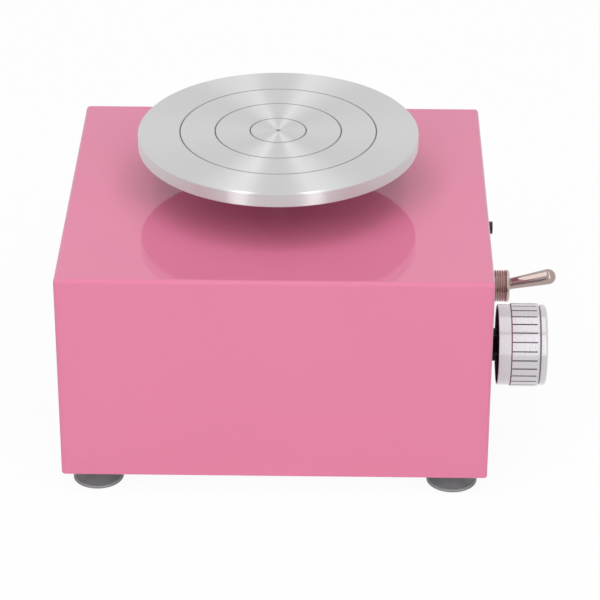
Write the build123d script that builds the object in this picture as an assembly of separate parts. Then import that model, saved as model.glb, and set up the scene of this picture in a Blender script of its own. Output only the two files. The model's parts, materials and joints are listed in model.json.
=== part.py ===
from build123d import *

import math
import os

# Small bench pottery wheel. A folded and painted steel case stands on four suction feet and hangs a
# brushed direct-current motor under its top. The motor's shaft carries an aluminium wheel head through
# a sleeve hub. A speed knob, a toggle switch and a power jack sit in a row on the right side, wired to
# a speed controller board.
#
# Frame: millimetres, +Z up, +Y to the back, +X to the side with the controls. The origin is on the
# surface that the feet stand on, under the wheel's axis.

# Case of folded sheet steel
CASE_WIDTH = 150.0
CASE_DEPTH = 140.0
CASE_HEIGHT = 78.0
SHEET = 1.2
CASE_EDGE_RADIUS = 1.5
CASE_LOWER_ROUND = 0.5
LEAST_INNER_RADIUS = 0.2

# Base plate, the tabs that it screws to, and its screws
PLATE_THICKNESS = 1.5
PLATE_GAP = 0.3
PLATE_CORNER_RADIUS = 1.0
TAB_X = 35.0
TAB_WIDTH = 14.0
TAB_FOOT = 11.0
TAB_HEIGHT = 12.0
TAB_THICKNESS = 1.5

# Machine screws of the smaller size, used on the base, motor and board
SCREW_DIAMETER = 2.9
SCREW_HEAD_DIAMETER = 5.6
SCREW_HEAD_HEIGHT = 2.0
SCREW_CLEARANCE = 0.25
THREAD_CLEARANCE = 0.05
BASE_SCREW_LENGTH = 5.0
MOTOR_SCREW_LENGTH = 5.0
BOARD_SCREW_LENGTH = 5.0
RECESS_WIDTH = 0.8
RECESS_DEPTH = 1.0

# Suction feet with moulded-in studs
FOOT_HEIGHT = 8.0
FOOT_DIAMETER = 18.0
FOOT_INSET = 12.0
FOOT_LIP_HEIGHT = 0.9
FOOT_LIP_WIDTH = 1.3
FOOT_NECK_DIAMETER = 9.0
FOOT_DOME_HEIGHT = 5.2
FOOT_DOME_SWELL = 0.62
FOOT_HOLLOW_HEIGHT = 2.4
STUD_DIAMETER = 3.9
STUD_SINK = 4.2
STUD_PROUD = 1.0
STUD_NUT_FLATS = 7.0
STUD_NUT_HEIGHT = 3.2

# Wheel head
WHEEL_DIAMETER = 100.0
WHEEL_THICKNESS = 5.3
WHEEL_TOP_ABOVE_CASE = 23.4
WHEEL_TOP_CHAMFER = 0.5
WHEEL_UNDER_CHAMFER = 0.3
GROOVE_DIAMETERS = (20.0, 45.0, 70.0)
GROOVE_WIDTH = 0.7
GROOVE_DEPTH = 0.35
CENTRE_MARK_DIAMETER = 1.8
CENTRE_MARK_DEPTH = 0.7

# Sleeve hub between the motor shaft and the wheel head
HUB_DIAMETER = 9.0
HUB_SPIGOT_DIAMETER = 7.0
HUB_SPIGOT_HEIGHT = 2.8
HUB_ABOVE_BOSS = 1.2
HUB_ENGAGEMENT = 11.0
HUB_SCREW_HEIGHT = 5.0
GRUB_DIAMETER = 3.0
GRUB_SOCKET_FLATS = 1.5
GRUB_SOCKET_DEPTH = 1.2
SEAT_CLEARANCE = 0.02
SHAFT_FLAT_DEPTH = 0.5

# Brushed motor
MOTOR_DIAMETER = 37.0
CAN_LENGTH = 46.0
CAN_WALL = 1.2
CAN_FRONT = 1.5
BOSS_HEIGHT = 4.0
BOSS_WALL = 1.2
BOSS_LIP = 0.8
BOSS_HOLE_CLEARANCE = 0.2
MOTOR_SCREW_PITCH = 25.0
SHAFT_DIAMETER = 5.0
SHAFT_RUNNING_CLEARANCE = 0.04
BEARING_DIAMETER = 11.0
BEARING_WIDTH = 4.0
BALL_COUNT = 8
BALL_CLEARANCE = 0.05
MAGNET_THICKNESS = 3.7
MAGNET_LENGTH = 28.0
MAGNET_TOP_BELOW_FRONT = 5.0
MAGNET_ARC = 130.0
AIR_GAP = 0.5
CORE_LENGTH = 20.0
CORE_POLES = 5
SLOT_WIDTH = 4.0
SLOT_MOUTH = 1.6
SLOT_ROOT_RADIUS = 5.5
POLE_TIP = 1.0
WINDING_CLEARANCE = 0.3
WINDING_OVERHANG = 3.4
COMMUTATOR_DIAMETER = 11.0
COMMUTATOR_LENGTH = 8.0
COMMUTATOR_SLIT = 0.5
COMMUTATOR_ABOVE_CAP = 2.2
BRUSH_WIDTH = 4.0
BRUSH_LENGTH = 6.5
BRUSH_GAP = 0.05
HOLDER_WALL = 1.5
HOLDER_LENGTH = 7.5
HOLDER_STANDOFF = 1.5
END_CAP_THICKNESS = 3.0
END_CAP_SPIGOT = 3.0
END_CAP_SPIGOT_WALL = 1.6
BUSH_DIAMETER = 9.0
BUSH_LENGTH = 6.0
CAP_BOSS_WALL = 2.0
CAP_BOSS_HEIGHT = 4.5
CAP_BOSS_FLOOR = 1.0
MOTOR_TAB_WIDTH = 4.0
MOTOR_TAB_THICKNESS = 0.6
MOTOR_TAB_DROP = 6.0

# Row of controls on the right side, in distances from that side's middle
CONTROL_HEIGHT = 39.0
KNOB_Y = -43.0
TOGGLE_Y = 0.0
JACK_Y = 46.0
PANEL_HOLE_CLEARANCE = 0.2

# Speed knob, in distances along its own axis from the panel
KNOB_GAP = 3.1
KNOB_DIAMETER = 29.3
KNOB_COLLAR_DIAMETER = 28.4
KNOB_COLLAR_LENGTH = 4.6
KNOB_GRIP_LENGTH = 9.7
KNOB_NOSE_LENGTH = 2.8
KNOB_NOSE_DIAMETER = 28.4
KNOB_NOSE_ROUND = 1.1
KNOB_GROOVE_WIDTH = 0.5
KNOB_GROOVE_DEPTH = 0.5
KNOB_FLUTES = 28
FLUTE_WIDTH = 0.6
FLUTE_DEPTH = 0.45
FLUTE_SHY_OF_NOSE = 0.8
KNOB_CORE_DIAMETER = 25.0
KNOB_CORE_LENGTH = 12.0
KNOB_CORE_RECESS = 0.2
KNOB_BACK_DIAMETER = 27.6
KNOB_BACK_THICKNESS = 1.4
KNOB_NUT_POCKET_DIAMETER = 12.6
KNOB_NUT_POCKET_DEPTH = 3.0
KNOB_SCREW_LENGTH = 6.0

# Potentiometer behind the knob
POT_DIAMETER = 16.5
POT_FRONT = 1.5
POT_DEPTH = 9.0
POT_WALL = 0.6
POT_BUSHING_DIAMETER = 6.9
POT_BUSHING_LENGTH = 6.0
POT_SHAFT_DIAMETER = 6.0
POT_SHAFT_LENGTH = 15.0
POT_NUT_FLATS = 10.0
POT_NUT_HEIGHT = 2.0
POT_WASHER_DIAMETER = 11.0
POT_WASHER_HEIGHT = 0.5
POT_TRACK_THICKNESS = 1.2
POT_WIPER_THICKNESS = 1.0
POT_FINGER_WIDTH = 1.6
POT_FIT = 0.1
POT_LUG_PITCH = 4.0
POT_LUG_WIDTH = 1.5
POT_LUG_THICKNESS = 0.5
POT_LUG_LENGTH = 7.0

# Toggle switch, in distances along its own axis from the panel
TOGGLE_THREAD_DIAMETER = 11.8
TOGGLE_THREAD_PITCH = 0.85
TOGGLE_THREAD_DEPTH = 0.4
TOGGLE_PROUD = 9.6
TOGGLE_PLAIN_END = 1.0
TOGGLE_END_CHAMFER = 0.5
TOGGLE_BORE_DIAMETER = 9.2
TOGGLE_MOUTH_DIAMETER = 7.0
TOGGLE_MOUTH_LIP = 0.7
TOGGLE_NUT_FLATS = 14.0
TOGGLE_NUT_HEIGHT = 2.5
TOGGLE_BEHIND_NUT = 1.5
TOGGLE_FRAME_THICKNESS = 1.5
TOGGLE_BODY_WIDTH = 13.5
TOGGLE_BODY_HEIGHT = 27.0
TOGGLE_BODY_DEPTH = 17.0
TOGGLE_BODY_WALL = 1.8
LEVER_PIVOT_DEPTH = 3.6
LEVER_TILT = 12.7
LEVER_BALL_CLEARANCE = 0.2
LEVER_PIN_DIAMETER = 2.0
LEVER_PIN_SEAT = 0.4
LEVER_REACH = 21.1
LEVER_ROOT_DIAMETER = 4.0
LEVER_TIP_DIAMETER = 5.7
LEVER_TAIL_LENGTH = 14.0
LEVER_TAIL_DIAMETER = 3.0
PLUNGER_DIAMETER = 2.4
PLUNGER_REACH = 21.5
PLUNGER_SPIGOT_DIAMETER = 1.6
PLUNGER_SPIGOT_LENGTH = 3.0
ROCKER_TILT = 10.0
ROCKER_SPAN = 18.0
ROCKER_WIDTH = 5.0
ROCKER_THICKNESS = 0.8
ROCKER_PIN_DIAMETER = 1.0
ROCKER_PIN_SEAT = 0.8
SWITCH_PIN_CLEARANCE = 0.1
ROCKER_BEHIND_PLUNGER = 0.6
CONTACT_GAP = 0.15
CONTACT_WIDTH = 4.0
CONTACT_THICKNESS = 1.2
CONTACT_TAIL = 7.0

# Power jack, in distances along its own axis from the panel
JACK_THREAD_DIAMETER = 7.8
JACK_THREAD_PITCH = 1.0
JACK_THREAD_DEPTH = 0.4
JACK_THREAD_PROUD = 3.4
JACK_NOSE_DIAMETER = 4.8
JACK_PROUD = 5.7
JACK_FLANGE_DIAMETER = 11.0
JACK_FLANGE_HEIGHT = 2.0
JACK_BODY_DIAMETER = 9.4
JACK_BODY_LENGTH = 10.0
JACK_BORE_DIAMETER = 3.6
JACK_BORE_DEPTH = 11.5
JACK_PIN_DIAMETER = 1.3
JACK_PIN_SHY = 2.4
JACK_NUT_FLATS = 11.0
JACK_NUT_HEIGHT = 2.0
JACK_LUG_LENGTH = 5.0
JACK_LUG_SINK = 2.5
JACK_LUG_WIDTH = 2.4
JACK_LUG_THICKNESS = 0.6
JACK_LUG_OFFSET = 3.0

# Speed controller board
BOARD_WIDTH = 40.0
BOARD_LENGTH = 56.0
BOARD_THICKNESS = 1.6
BOARD_MARGIN = 3.0
BOARD_Y = 15.0
BOARD_HOLE_INSET = 4.0
STANDOFF_DIAMETER = 6.0
STANDOFF_HEIGHT = 6.0
STANDOFF_SPIGOT_DIAMETER = 3.0
CAPACITOR_DIAMETER = 10.0
CAPACITOR_HEIGHT = 16.0
TERMINAL_BLOCK_LENGTH = 35.0
TERMINAL_BLOCK_DEPTH = 8.0
TERMINAL_BLOCK_HEIGHT = 10.0
TERMINAL_BLOCK_WAYS = 7
TERMINAL_MOUTH = 3.2
TERMINAL_MOUTH_DEPTH = 5.0
TRANSISTOR_WIDTH = 10.2
TRANSISTOR_HEIGHT = 15.0
TRANSISTOR_THICKNESS = 4.5
HEAT_SINK_WIDTH = 22.0
HEAT_SINK_HEIGHT = 20.0
HEAT_SINK_BASE = 2.5
HEAT_SINK_FIN = 1.2
HEAT_SINK_FIN_DEPTH = 7.0
HEAT_SINK_FINS = 6

# Insulated hook-up wire
WIRE_DIAMETER = 1.8
WIRE_BEND_RADIUS = 5.0
WIRE_END_GAP = 0.1
JACK_WIRE_TURN = 14.0
SLEEVE_WIRE_TURN = 20.0
SWITCH_WIRE_TURN = 14.0
SLEEVE_WIRE_LANE = -32.0
SWITCH_WIRE_LANE = -27.0
MOTOR_WIRE_LANES = (-22.0, -17.0)

# Levels and places that follow from the sizes above
CASE_BOTTOM = FOOT_HEIGHT
CASE_TOP = CASE_BOTTOM + CASE_HEIGHT
CEILING = CASE_TOP - SHEET
PLATE_TOP = CASE_BOTTOM + PLATE_THICKNESS
PANEL_X = CASE_WIDTH / 2
INNER_X = CASE_WIDTH / 2 - SHEET
INNER_Y = CASE_DEPTH / 2 - SHEET
CONTROL_Z = CASE_BOTTOM + CONTROL_HEIGHT
FOOT_X = CASE_WIDTH / 2 - FOOT_INSET
FOOT_Y = CASE_DEPTH / 2 - FOOT_INSET
TAB_Y = INNER_Y - TAB_FOOT / 2
SCREW_HOLE = SCREW_DIAMETER / 2 + SCREW_CLEARANCE
TAPPED_HOLE = SCREW_DIAMETER / 2 + THREAD_CLEARANCE
SHAFT_RADIUS = SHAFT_DIAMETER / 2
BOSS_RADIUS = BEARING_DIAMETER / 2 + BOSS_WALL
BOSS_TOP = CEILING + BOSS_HEIGHT
HUB_BOTTOM = BOSS_TOP + HUB_ABOVE_BOSS
WHEEL_TOP = CASE_TOP + WHEEL_TOP_ABOVE_CASE
WHEEL_BOTTOM = WHEEL_TOP - WHEEL_THICKNESS
SHAFT_TOP = HUB_BOTTOM + HUB_ENGAGEMENT
CAN_RADIUS = MOTOR_DIAMETER / 2
CAN_INNER = CAN_RADIUS - CAN_WALL
CAN_BOTTOM = CEILING - CAN_LENGTH
CAP_BOTTOM = CAN_BOTTOM - END_CAP_THICKNESS
BUSH_TOP = CAN_BOTTOM
BUSH_BOTTOM = BUSH_TOP - BUSH_LENGTH
CAP_BOSS_BOTTOM = min(CAP_BOTTOM - CAP_BOSS_HEIGHT, BUSH_BOTTOM - CAP_BOSS_FLOOR)
MAGNET_OUTER = CAN_INNER - SEAT_CLEARANCE
MAGNET_INNER = MAGNET_OUTER - MAGNET_THICKNESS
CORE_RADIUS = MAGNET_INNER - AIR_GAP
MAGNET_TOP = CEILING - CAN_FRONT - MAGNET_TOP_BELOW_FRONT
MAGNET_MIDDLE = MAGNET_TOP - MAGNET_LENGTH / 2
CORE_BOTTOM = MAGNET_MIDDLE - CORE_LENGTH / 2
COMMUTATOR_BOTTOM = CAN_BOTTOM + COMMUTATOR_ABOVE_CAP
BRUSH_Z = COMMUTATOR_BOTTOM + COMMUTATOR_LENGTH / 2
BRUSH_INNER = COMMUTATOR_DIAMETER / 2 + BRUSH_GAP
HOLDER_INNER = BRUSH_INNER + HOLDER_STANDOFF
MOTOR_TAB_X = HOLDER_INNER + HOLDER_LENGTH + MOTOR_TAB_THICKNESS / 2
BEARING_TOP = BOSS_TOP - BOSS_LIP
BEARING_MIDDLE = BEARING_TOP - BEARING_WIDTH / 2
BALL_PITCH_RADIUS = (SHAFT_DIAMETER + BEARING_DIAMETER) / 4
BALL_RADIUS = (BEARING_DIAMETER - SHAFT_DIAMETER) / 8
RACE_RADIUS = BALL_RADIUS + BALL_CLEARANCE
RACE_WALL = (BEARING_DIAMETER - SHAFT_DIAMETER) / 6
BOARD_X = -INNER_X + BOARD_MARGIN + BOARD_WIDTH / 2
BOARD_BOTTOM = PLATE_TOP + STANDOFF_HEIGHT
BOARD_TOP = BOARD_BOTTOM + BOARD_THICKNESS
TOGGLE_FRAME_FRONT = -(SHEET + TOGGLE_NUT_HEIGHT + TOGGLE_BEHIND_NUT)
TOGGLE_FRAME_BACK = TOGGLE_FRAME_FRONT - TOGGLE_FRAME_THICKNESS
TOGGLE_BODY_BACK = TOGGLE_FRAME_BACK - TOGGLE_BODY_DEPTH
LEVER_PIVOT = TOGGLE_PROUD - LEVER_PIVOT_DEPTH
LEVER_BALL_RADIUS = TOGGLE_BORE_DIAMETER / 2 - LEVER_BALL_CLEARANCE
ROCKER_PIVOT = LEVER_PIVOT - PLUNGER_REACH - ROCKER_BEHIND_PLUNGER - ROCKER_THICKNESS / 2
KNOB_BACK = KNOB_GAP
KNOB_FRONT = KNOB_BACK + KNOB_COLLAR_LENGTH + KNOB_GRIP_LENGTH + KNOB_NOSE_LENGTH
POT_FACE = -SHEET
POT_BACK = POT_FACE - POT_FRONT - POT_DEPTH
POT_TRACK_BACK = POT_BACK + POT_WALL
POT_TRACK_FACE = POT_TRACK_BACK + POT_TRACK_THICKNESS
JACK_FLANGE_BACK = -SHEET - JACK_FLANGE_HEIGHT
JACK_BODY_BACK = JACK_FLANGE_BACK - JACK_BODY_LENGTH

parts = {}


def turned(points, axis=Axis.Z):
    """Turned solid: (radius, height) points about Z, or (along, radius) points about X."""
    plane = Plane.XZ if axis == Axis.Z else Plane.XY
    return revolve(plane * make_face(Polyline(*points, close=True)), axis=axis)


def post(radius, low, high):
    """Upright cylinder between two heights."""
    return Pos(0, 0, (low + high) / 2) * Cylinder(radius, high - low)


def rod(radius, start, end):
    """Cylinder along X between two distances."""
    return Pos((start + end) / 2, 0, 0) * Rot(0, 90, 0) * Cylinder(radius, end - start)


def cross_pin(diameter, reach):
    """Pin along Y, through the origin, that reaches equally far both ways."""
    return Rot(90, 0, 0) * Cylinder(diameter / 2, 2 * reach)


def block(low, high):
    """Box between two opposite corners."""
    size = [b - a for a, b in zip(low, high)]
    middle = [(a + b) / 2 for a, b in zip(low, high)]
    return Pos(*middle) * Box(*size)


def hexagon_rod(flats, start, end):
    """Hexagonal bar along X with two flats level."""
    outline = Plane.YZ.offset(start) * RegularPolygon(flats / 2, 6, major_radius=False)
    return extrude(outline, amount=end - start)


def hexagon_post(flats, low, high):
    """Upright hexagonal bar between two heights."""
    outline = Plane.XY.offset(low) * RegularPolygon(flats / 2, 6, major_radius=False)
    return extrude(outline, amount=high - low)


def on_panel(y):
    """Moves a control, drawn along X from the panel's outer face, to its place in the row."""
    return Pos(PANEL_X, y, CONTROL_Z)


def ridged_rod(radius, pitch, depth, start, end):
    """Outline half of a screw thread drawn as rings: (along, radius) points from start to end."""
    count = max(1, round((end - start) / pitch))
    step = (end - start) / count
    points = []
    for i in range(count):
        points.append((start + i * step, radius - depth))
        points.append((start + (i + 0.5) * step, radius))
    points.append((end, radius - depth))
    return points


def pan_screw(length):
    """Cross-recessed pan-head screw, head up, with the underside of its head at zero."""
    head_radius = SCREW_HEAD_DIAMETER / 2
    head = post(head_radius, 0, SCREW_HEAD_HEIGHT)
    rim = head.edges().filter_by(GeomType.CIRCLE).sort_by(Axis.Z)[-1]
    head = fillet(rim, SCREW_HEAD_HEIGHT * 0.6)
    screw = head + post(SCREW_DIAMETER / 2, -length, 0)
    recess = SCREW_HEAD_DIAMETER * 0.5
    slot = block((-recess / 2, -RECESS_WIDTH / 2, SCREW_HEAD_HEIGHT - RECESS_DEPTH),
                 (recess / 2, RECESS_WIDTH / 2, SCREW_HEAD_HEIGHT))
    return screw - slot - Rot(0, 0, 90) * slot


def four_corners(x, y):
    """The four places at plus and minus x and y."""
    return [(sx * x, sy * y) for sx in (-1, 1) for sy in (-1, 1)]


# Case, base plate and feet
def case_shell():
    """Five-sided folded case, open below, with holes for the motor and the row of controls."""
    outer = Pos(0, 0, CASE_BOTTOM + CASE_HEIGHT / 2) * Box(CASE_WIDTH, CASE_DEPTH, CASE_HEIGHT)
    lower_rim = outer.edges().group_by(Axis.Z)[0]
    bends = [edge for edge in outer.edges() if edge not in lower_rim]
    outer = fillet(bends, CASE_EDGE_RADIUS)
    outer = fillet(outer.faces().sort_by(Axis.Z)[0].edges(), min(CASE_LOWER_ROUND, SHEET / 2))
    inner = block((-INNER_X, -INNER_Y, CASE_BOTTOM - SHEET), (INNER_X, INNER_Y, CEILING))
    inner_rim = inner.edges().group_by(Axis.Z)[0]
    creases = [edge for edge in inner.edges() if edge not in inner_rim]
    inner = fillet(creases, max(CASE_EDGE_RADIUS - SHEET, LEAST_INNER_RADIUS))
    shell = outer - inner
    shell -= post(BOSS_RADIUS + BOSS_HOLE_CLEARANCE, CEILING - SHEET, CASE_TOP + SHEET)
    for x in motor_screw_places():
        shell -= Pos(x, 0, 0) * post(SCREW_HOLE, CEILING - SHEET, CASE_TOP + SHEET)
    holes = {KNOB_Y: POT_BUSHING_DIAMETER, TOGGLE_Y: TOGGLE_THREAD_DIAMETER, JACK_Y: JACK_THREAD_DIAMETER}
    for y, diameter in holes.items():
        shell -= on_panel(y) * rod(diameter / 2 + PANEL_HOLE_CLEARANCE, -2 * SHEET, SHEET)
    return shell


def tab_places():
    """Places of the tabs along the front and back walls, with the way each faces."""
    return [(sx * TAB_X, sy) for sx in (-1, 1) for sy in (-1, 1)]


def base_tabs():
    """Angle tabs welded inside the front and back walls, tapped for the base plate's screws."""
    tabs = []
    for x, side in tab_places():
        foot = block((-TAB_WIDTH / 2, INNER_Y - TAB_FOOT, PLATE_TOP),
                     (TAB_WIDTH / 2, INNER_Y, PLATE_TOP + TAB_THICKNESS))
        leg = block((-TAB_WIDTH / 2, INNER_Y - TAB_THICKNESS, PLATE_TOP),
                    (TAB_WIDTH / 2, INNER_Y, PLATE_TOP + TAB_HEIGHT))
        hole = Pos(0, TAB_Y - TAB_THICKNESS / 2, 0) * post(TAPPED_HOLE, CASE_BOTTOM, PLATE_TOP + TAB_HEIGHT)
        tab = foot + leg - hole
        tabs.append(Pos(x, 0, 0) * (tab if side > 0 else Rot(0, 0, 180) * tab))
    return tabs


def base_screw_places():
    """Axes of the base plate's screws."""
    return [(x, side * (TAB_Y - TAB_THICKNESS / 2)) for x, side in tab_places()]


def plate_hole(x, y, radius):
    """Cutter for a hole through the base plate."""
    return Pos(x, y, 0) * post(radius, CASE_BOTTOM - PLATE_THICKNESS, PLATE_TOP + PLATE_THICKNESS)


def base_plate():
    """Flat plate that closes the case from below."""
    plate = block((-INNER_X + PLATE_GAP, -INNER_Y + PLATE_GAP, CASE_BOTTOM),
                  (INNER_X - PLATE_GAP, INNER_Y - PLATE_GAP, PLATE_TOP))
    plate = fillet(plate.edges().filter_by(Axis.Z), PLATE_CORNER_RADIUS)
    for x, y in base_screw_places():
        plate -= plate_hole(x, y, SCREW_HOLE)
    for x, y in four_corners(FOOT_X, FOOT_Y):
        plate -= plate_hole(x, y, STUD_DIAMETER / 2 + SCREW_CLEARANCE)
    for x, y in board_screw_places():
        plate -= plate_hole(x, y, STANDOFF_SPIGOT_DIAMETER / 2 + SEAT_CLEARANCE)
    return plate


def base_screws():
    """Screws driven up through the base plate into the tabs."""
    screw = Pos(0, 0, CASE_BOTTOM) * Rot(180, 0, 0) * pan_screw(BASE_SCREW_LENGTH)
    return [Pos(x, y, 0) * screw for x, y in base_screw_places()]


def suction_foot():
    """Round suction cup: flat lip, hollow underside, domed top and a neck that meets the base plate."""
    lip = FOOT_DIAMETER / 2
    neck = FOOT_NECK_DIAMETER / 2
    rest = lip - FOOT_LIP_WIDTH
    shoulder_radius = neck + (lip - neck) * FOOT_DOME_SWELL
    shoulder_height = FOOT_LIP_HEIGHT + (FOOT_DOME_HEIGHT - FOOT_LIP_HEIGHT) * FOOT_DOME_SWELL
    with BuildSketch(Plane.XZ) as section:
        with BuildLine():
            ThreePointArc((0, FOOT_HOLLOW_HEIGHT), (rest * 0.55, FOOT_HOLLOW_HEIGHT * 0.72), (rest, 0))
            Line((rest, 0), (lip, 0))
            Line((lip, 0), (lip, FOOT_LIP_HEIGHT))
            ThreePointArc((lip, FOOT_LIP_HEIGHT), (shoulder_radius, shoulder_height),
                          (neck, FOOT_DOME_HEIGHT))
            Line((neck, FOOT_DOME_HEIGHT), (neck, FOOT_HEIGHT))
            Line((neck, FOOT_HEIGHT), (0, FOOT_HEIGHT))
            Line((0, FOOT_HEIGHT), (0, FOOT_HOLLOW_HEIGHT))
        make_face()
    cup = revolve(section.sketch, axis=Axis.Z)
    return cup - post(STUD_DIAMETER / 2 + SEAT_CLEARANCE, FOOT_HEIGHT - STUD_SINK, FOOT_HEIGHT + 1)


def foot_studs():
    """Threaded studs moulded into the feet, up through the base plate."""
    top = PLATE_TOP + STUD_NUT_HEIGHT + STUD_PROUD
    stud = post(STUD_DIAMETER / 2, FOOT_HEIGHT - STUD_SINK, top)
    return [Pos(x, y, 0) * stud for x, y in four_corners(FOOT_X, FOOT_Y)]


def foot_nuts():
    """Nuts that hold the feet from inside the case."""
    nut = hexagon_post(STUD_NUT_FLATS, PLATE_TOP, PLATE_TOP + STUD_NUT_HEIGHT)
    nut -= post(STUD_DIAMETER / 2 + THREAD_CLEARANCE, CASE_BOTTOM, PLATE_TOP + 2 * STUD_NUT_HEIGHT)
    return [Pos(x, y, 0) * nut for x, y in four_corners(FOOT_X, FOOT_Y)]


# Wheel head and hub
def wheel_head():
    """Turned aluminium disc with ring grooves, a centre mark and a blind socket for the hub's spigot."""
    rim = WHEEL_DIAMETER / 2
    disc = turned([
        (0, WHEEL_BOTTOM),
        (rim - WHEEL_UNDER_CHAMFER, WHEEL_BOTTOM),
        (rim, WHEEL_BOTTOM + WHEEL_UNDER_CHAMFER),
        (rim, WHEEL_TOP - WHEEL_TOP_CHAMFER),
        (rim - WHEEL_TOP_CHAMFER, WHEEL_TOP),
        (0, WHEEL_TOP),
    ])
    for diameter in GROOVE_DIAMETERS:
        radius = diameter / 2
        disc -= turned([
            (radius - GROOVE_WIDTH / 2, WHEEL_TOP + GROOVE_DEPTH),
            (radius - GROOVE_WIDTH / 2, WHEEL_TOP),
            (radius, WHEEL_TOP - GROOVE_DEPTH),
            (radius + GROOVE_WIDTH / 2, WHEEL_TOP),
            (radius + GROOVE_WIDTH / 2, WHEEL_TOP + GROOVE_DEPTH),
        ])
    mark = CENTRE_MARK_DIAMETER / 2
    disc -= turned([(0, WHEEL_TOP - CENTRE_MARK_DEPTH), (mark, WHEEL_TOP), (0, WHEEL_TOP)])
    socket = HUB_SPIGOT_DIAMETER / 2 + SEAT_CLEARANCE
    return disc - post(socket, WHEEL_BOTTOM - 1, WHEEL_BOTTOM + HUB_SPIGOT_HEIGHT + SEAT_CLEARANCE)


def hub_screw_hole(radius):
    """Radial hole, along +X, at the height of the hub's grub screw."""
    return Pos(0, 0, HUB_BOTTOM + HUB_SCREW_HEIGHT) * rod(radius, 0, HUB_DIAMETER)


def wheel_hub():
    """Sleeve that clamps the motor shaft below and carries the wheel head on its spigot."""
    hub = post(HUB_DIAMETER / 2, HUB_BOTTOM, WHEEL_BOTTOM)
    hub += post(HUB_SPIGOT_DIAMETER / 2, WHEEL_BOTTOM, WHEEL_BOTTOM + HUB_SPIGOT_HEIGHT)
    bore_top = SHAFT_TOP + SEAT_CLEARANCE
    hub -= post(SHAFT_RADIUS + SEAT_CLEARANCE, HUB_BOTTOM - 1, bore_top)
    return hub - hub_screw_hole(GRUB_DIAMETER / 2 + THREAD_CLEARANCE)


def grub_screw(start, end):
    """Socket set screw along X, with its hexagon socket at the outer end."""
    screw = rod(GRUB_DIAMETER / 2, start, end)
    return screw - hexagon_rod(GRUB_SOCKET_FLATS, end - GRUB_SOCKET_DEPTH, end + 1)


def hub_set_screw():
    """Set screw that bears on the flat of the shaft."""
    start = SHAFT_RADIUS - SHAFT_FLAT_DEPTH + SEAT_CLEARANCE
    return Pos(0, 0, HUB_BOTTOM + HUB_SCREW_HEIGHT) * grub_screw(start, HUB_DIAMETER / 2 - SEAT_CLEARANCE)


# Motor
def motor_shaft():
    """Shaft from the rear bush up into the hub, with a flat for the set screw."""
    shaft = post(SHAFT_RADIUS, BUSH_BOTTOM + CAP_BOSS_FLOOR / 2, SHAFT_TOP)
    flat = block((SHAFT_RADIUS - SHAFT_FLAT_DEPTH, -SHAFT_DIAMETER, HUB_BOTTOM),
                 (SHAFT_DIAMETER, SHAFT_DIAMETER, SHAFT_TOP + 1))
    return shaft - flat


def motor_can():
    """Drawn steel can with its front wall under the case's top and a bearing boss up through it."""
    seat = BEARING_DIAMETER / 2 + SEAT_CLEARANCE
    hole = SHAFT_RADIUS + BOSS_LIP
    can = turned([
        (seat, CEILING - CAN_FRONT),
        (seat, BEARING_TOP),
        (hole, BEARING_TOP),
        (hole, BOSS_TOP),
        (BOSS_RADIUS, BOSS_TOP),
        (BOSS_RADIUS, CEILING),
        (CAN_RADIUS, CEILING),
        (CAN_RADIUS, CAN_BOTTOM),
        (CAN_INNER, CAN_BOTTOM),
        (CAN_INNER, CEILING - CAN_FRONT),
    ])
    for x in motor_screw_places():
        can -= Pos(x, 0, 0) * post(TAPPED_HOLE, CEILING - 2 * CAN_FRONT, CASE_TOP)
    return can


def motor_screw_places():
    """Places of the motor's screws along X."""
    return (-MOTOR_SCREW_PITCH / 2, MOTOR_SCREW_PITCH / 2)


def motor_screws():
    """Two screws through the case's top into the motor's front wall."""
    screw = Pos(0, 0, CASE_TOP) * pan_screw(MOTOR_SCREW_LENGTH)
    return [Pos(x, 0, 0) * screw for x in motor_screw_places()]


def motor_magnets():
    """Two curved ferrite magnets on the inside of the can."""
    ring = post(MAGNET_OUTER, MAGNET_TOP - MAGNET_LENGTH, MAGNET_TOP)
    ring -= post(MAGNET_INNER, MAGNET_TOP - MAGNET_LENGTH, MAGNET_TOP)
    half = math.radians(MAGNET_ARC / 2)
    reach = 3 * MAGNET_OUTER
    corner = (reach * math.cos(half), reach * math.sin(half))
    wedge = Polyline((0, 0), corner, (reach, 0), (corner[0], -corner[1]), close=True)
    sector = extrude(Plane.XY.offset(MAGNET_TOP - MAGNET_LENGTH) * make_face(wedge), amount=MAGNET_LENGTH)
    magnet = ring & sector
    return [magnet, Rot(0, 0, 180) * magnet]


def slot_places():
    """Angles of the armature's slots."""
    return [360.0 / CORE_POLES * i for i in range(CORE_POLES)]


def rotor_core():
    """Laminated armature with one wound slot between each pair of poles."""
    top = CORE_BOTTOM + CORE_LENGTH
    core = post(CORE_RADIUS, CORE_BOTTOM, top) - post(SHAFT_RADIUS + SEAT_CLEARANCE, CORE_BOTTOM, top)
    slot = block((SLOT_ROOT_RADIUS, -SLOT_WIDTH / 2, CORE_BOTTOM),
                 (CORE_RADIUS - POLE_TIP, SLOT_WIDTH / 2, top))
    mouth = block((SLOT_ROOT_RADIUS, -SLOT_MOUTH / 2, CORE_BOTTOM),
                  (CORE_RADIUS + POLE_TIP, SLOT_MOUTH / 2, top))
    for angle in slot_places():
        core -= Rot(0, 0, angle) * (slot + mouth)
    return core


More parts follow.
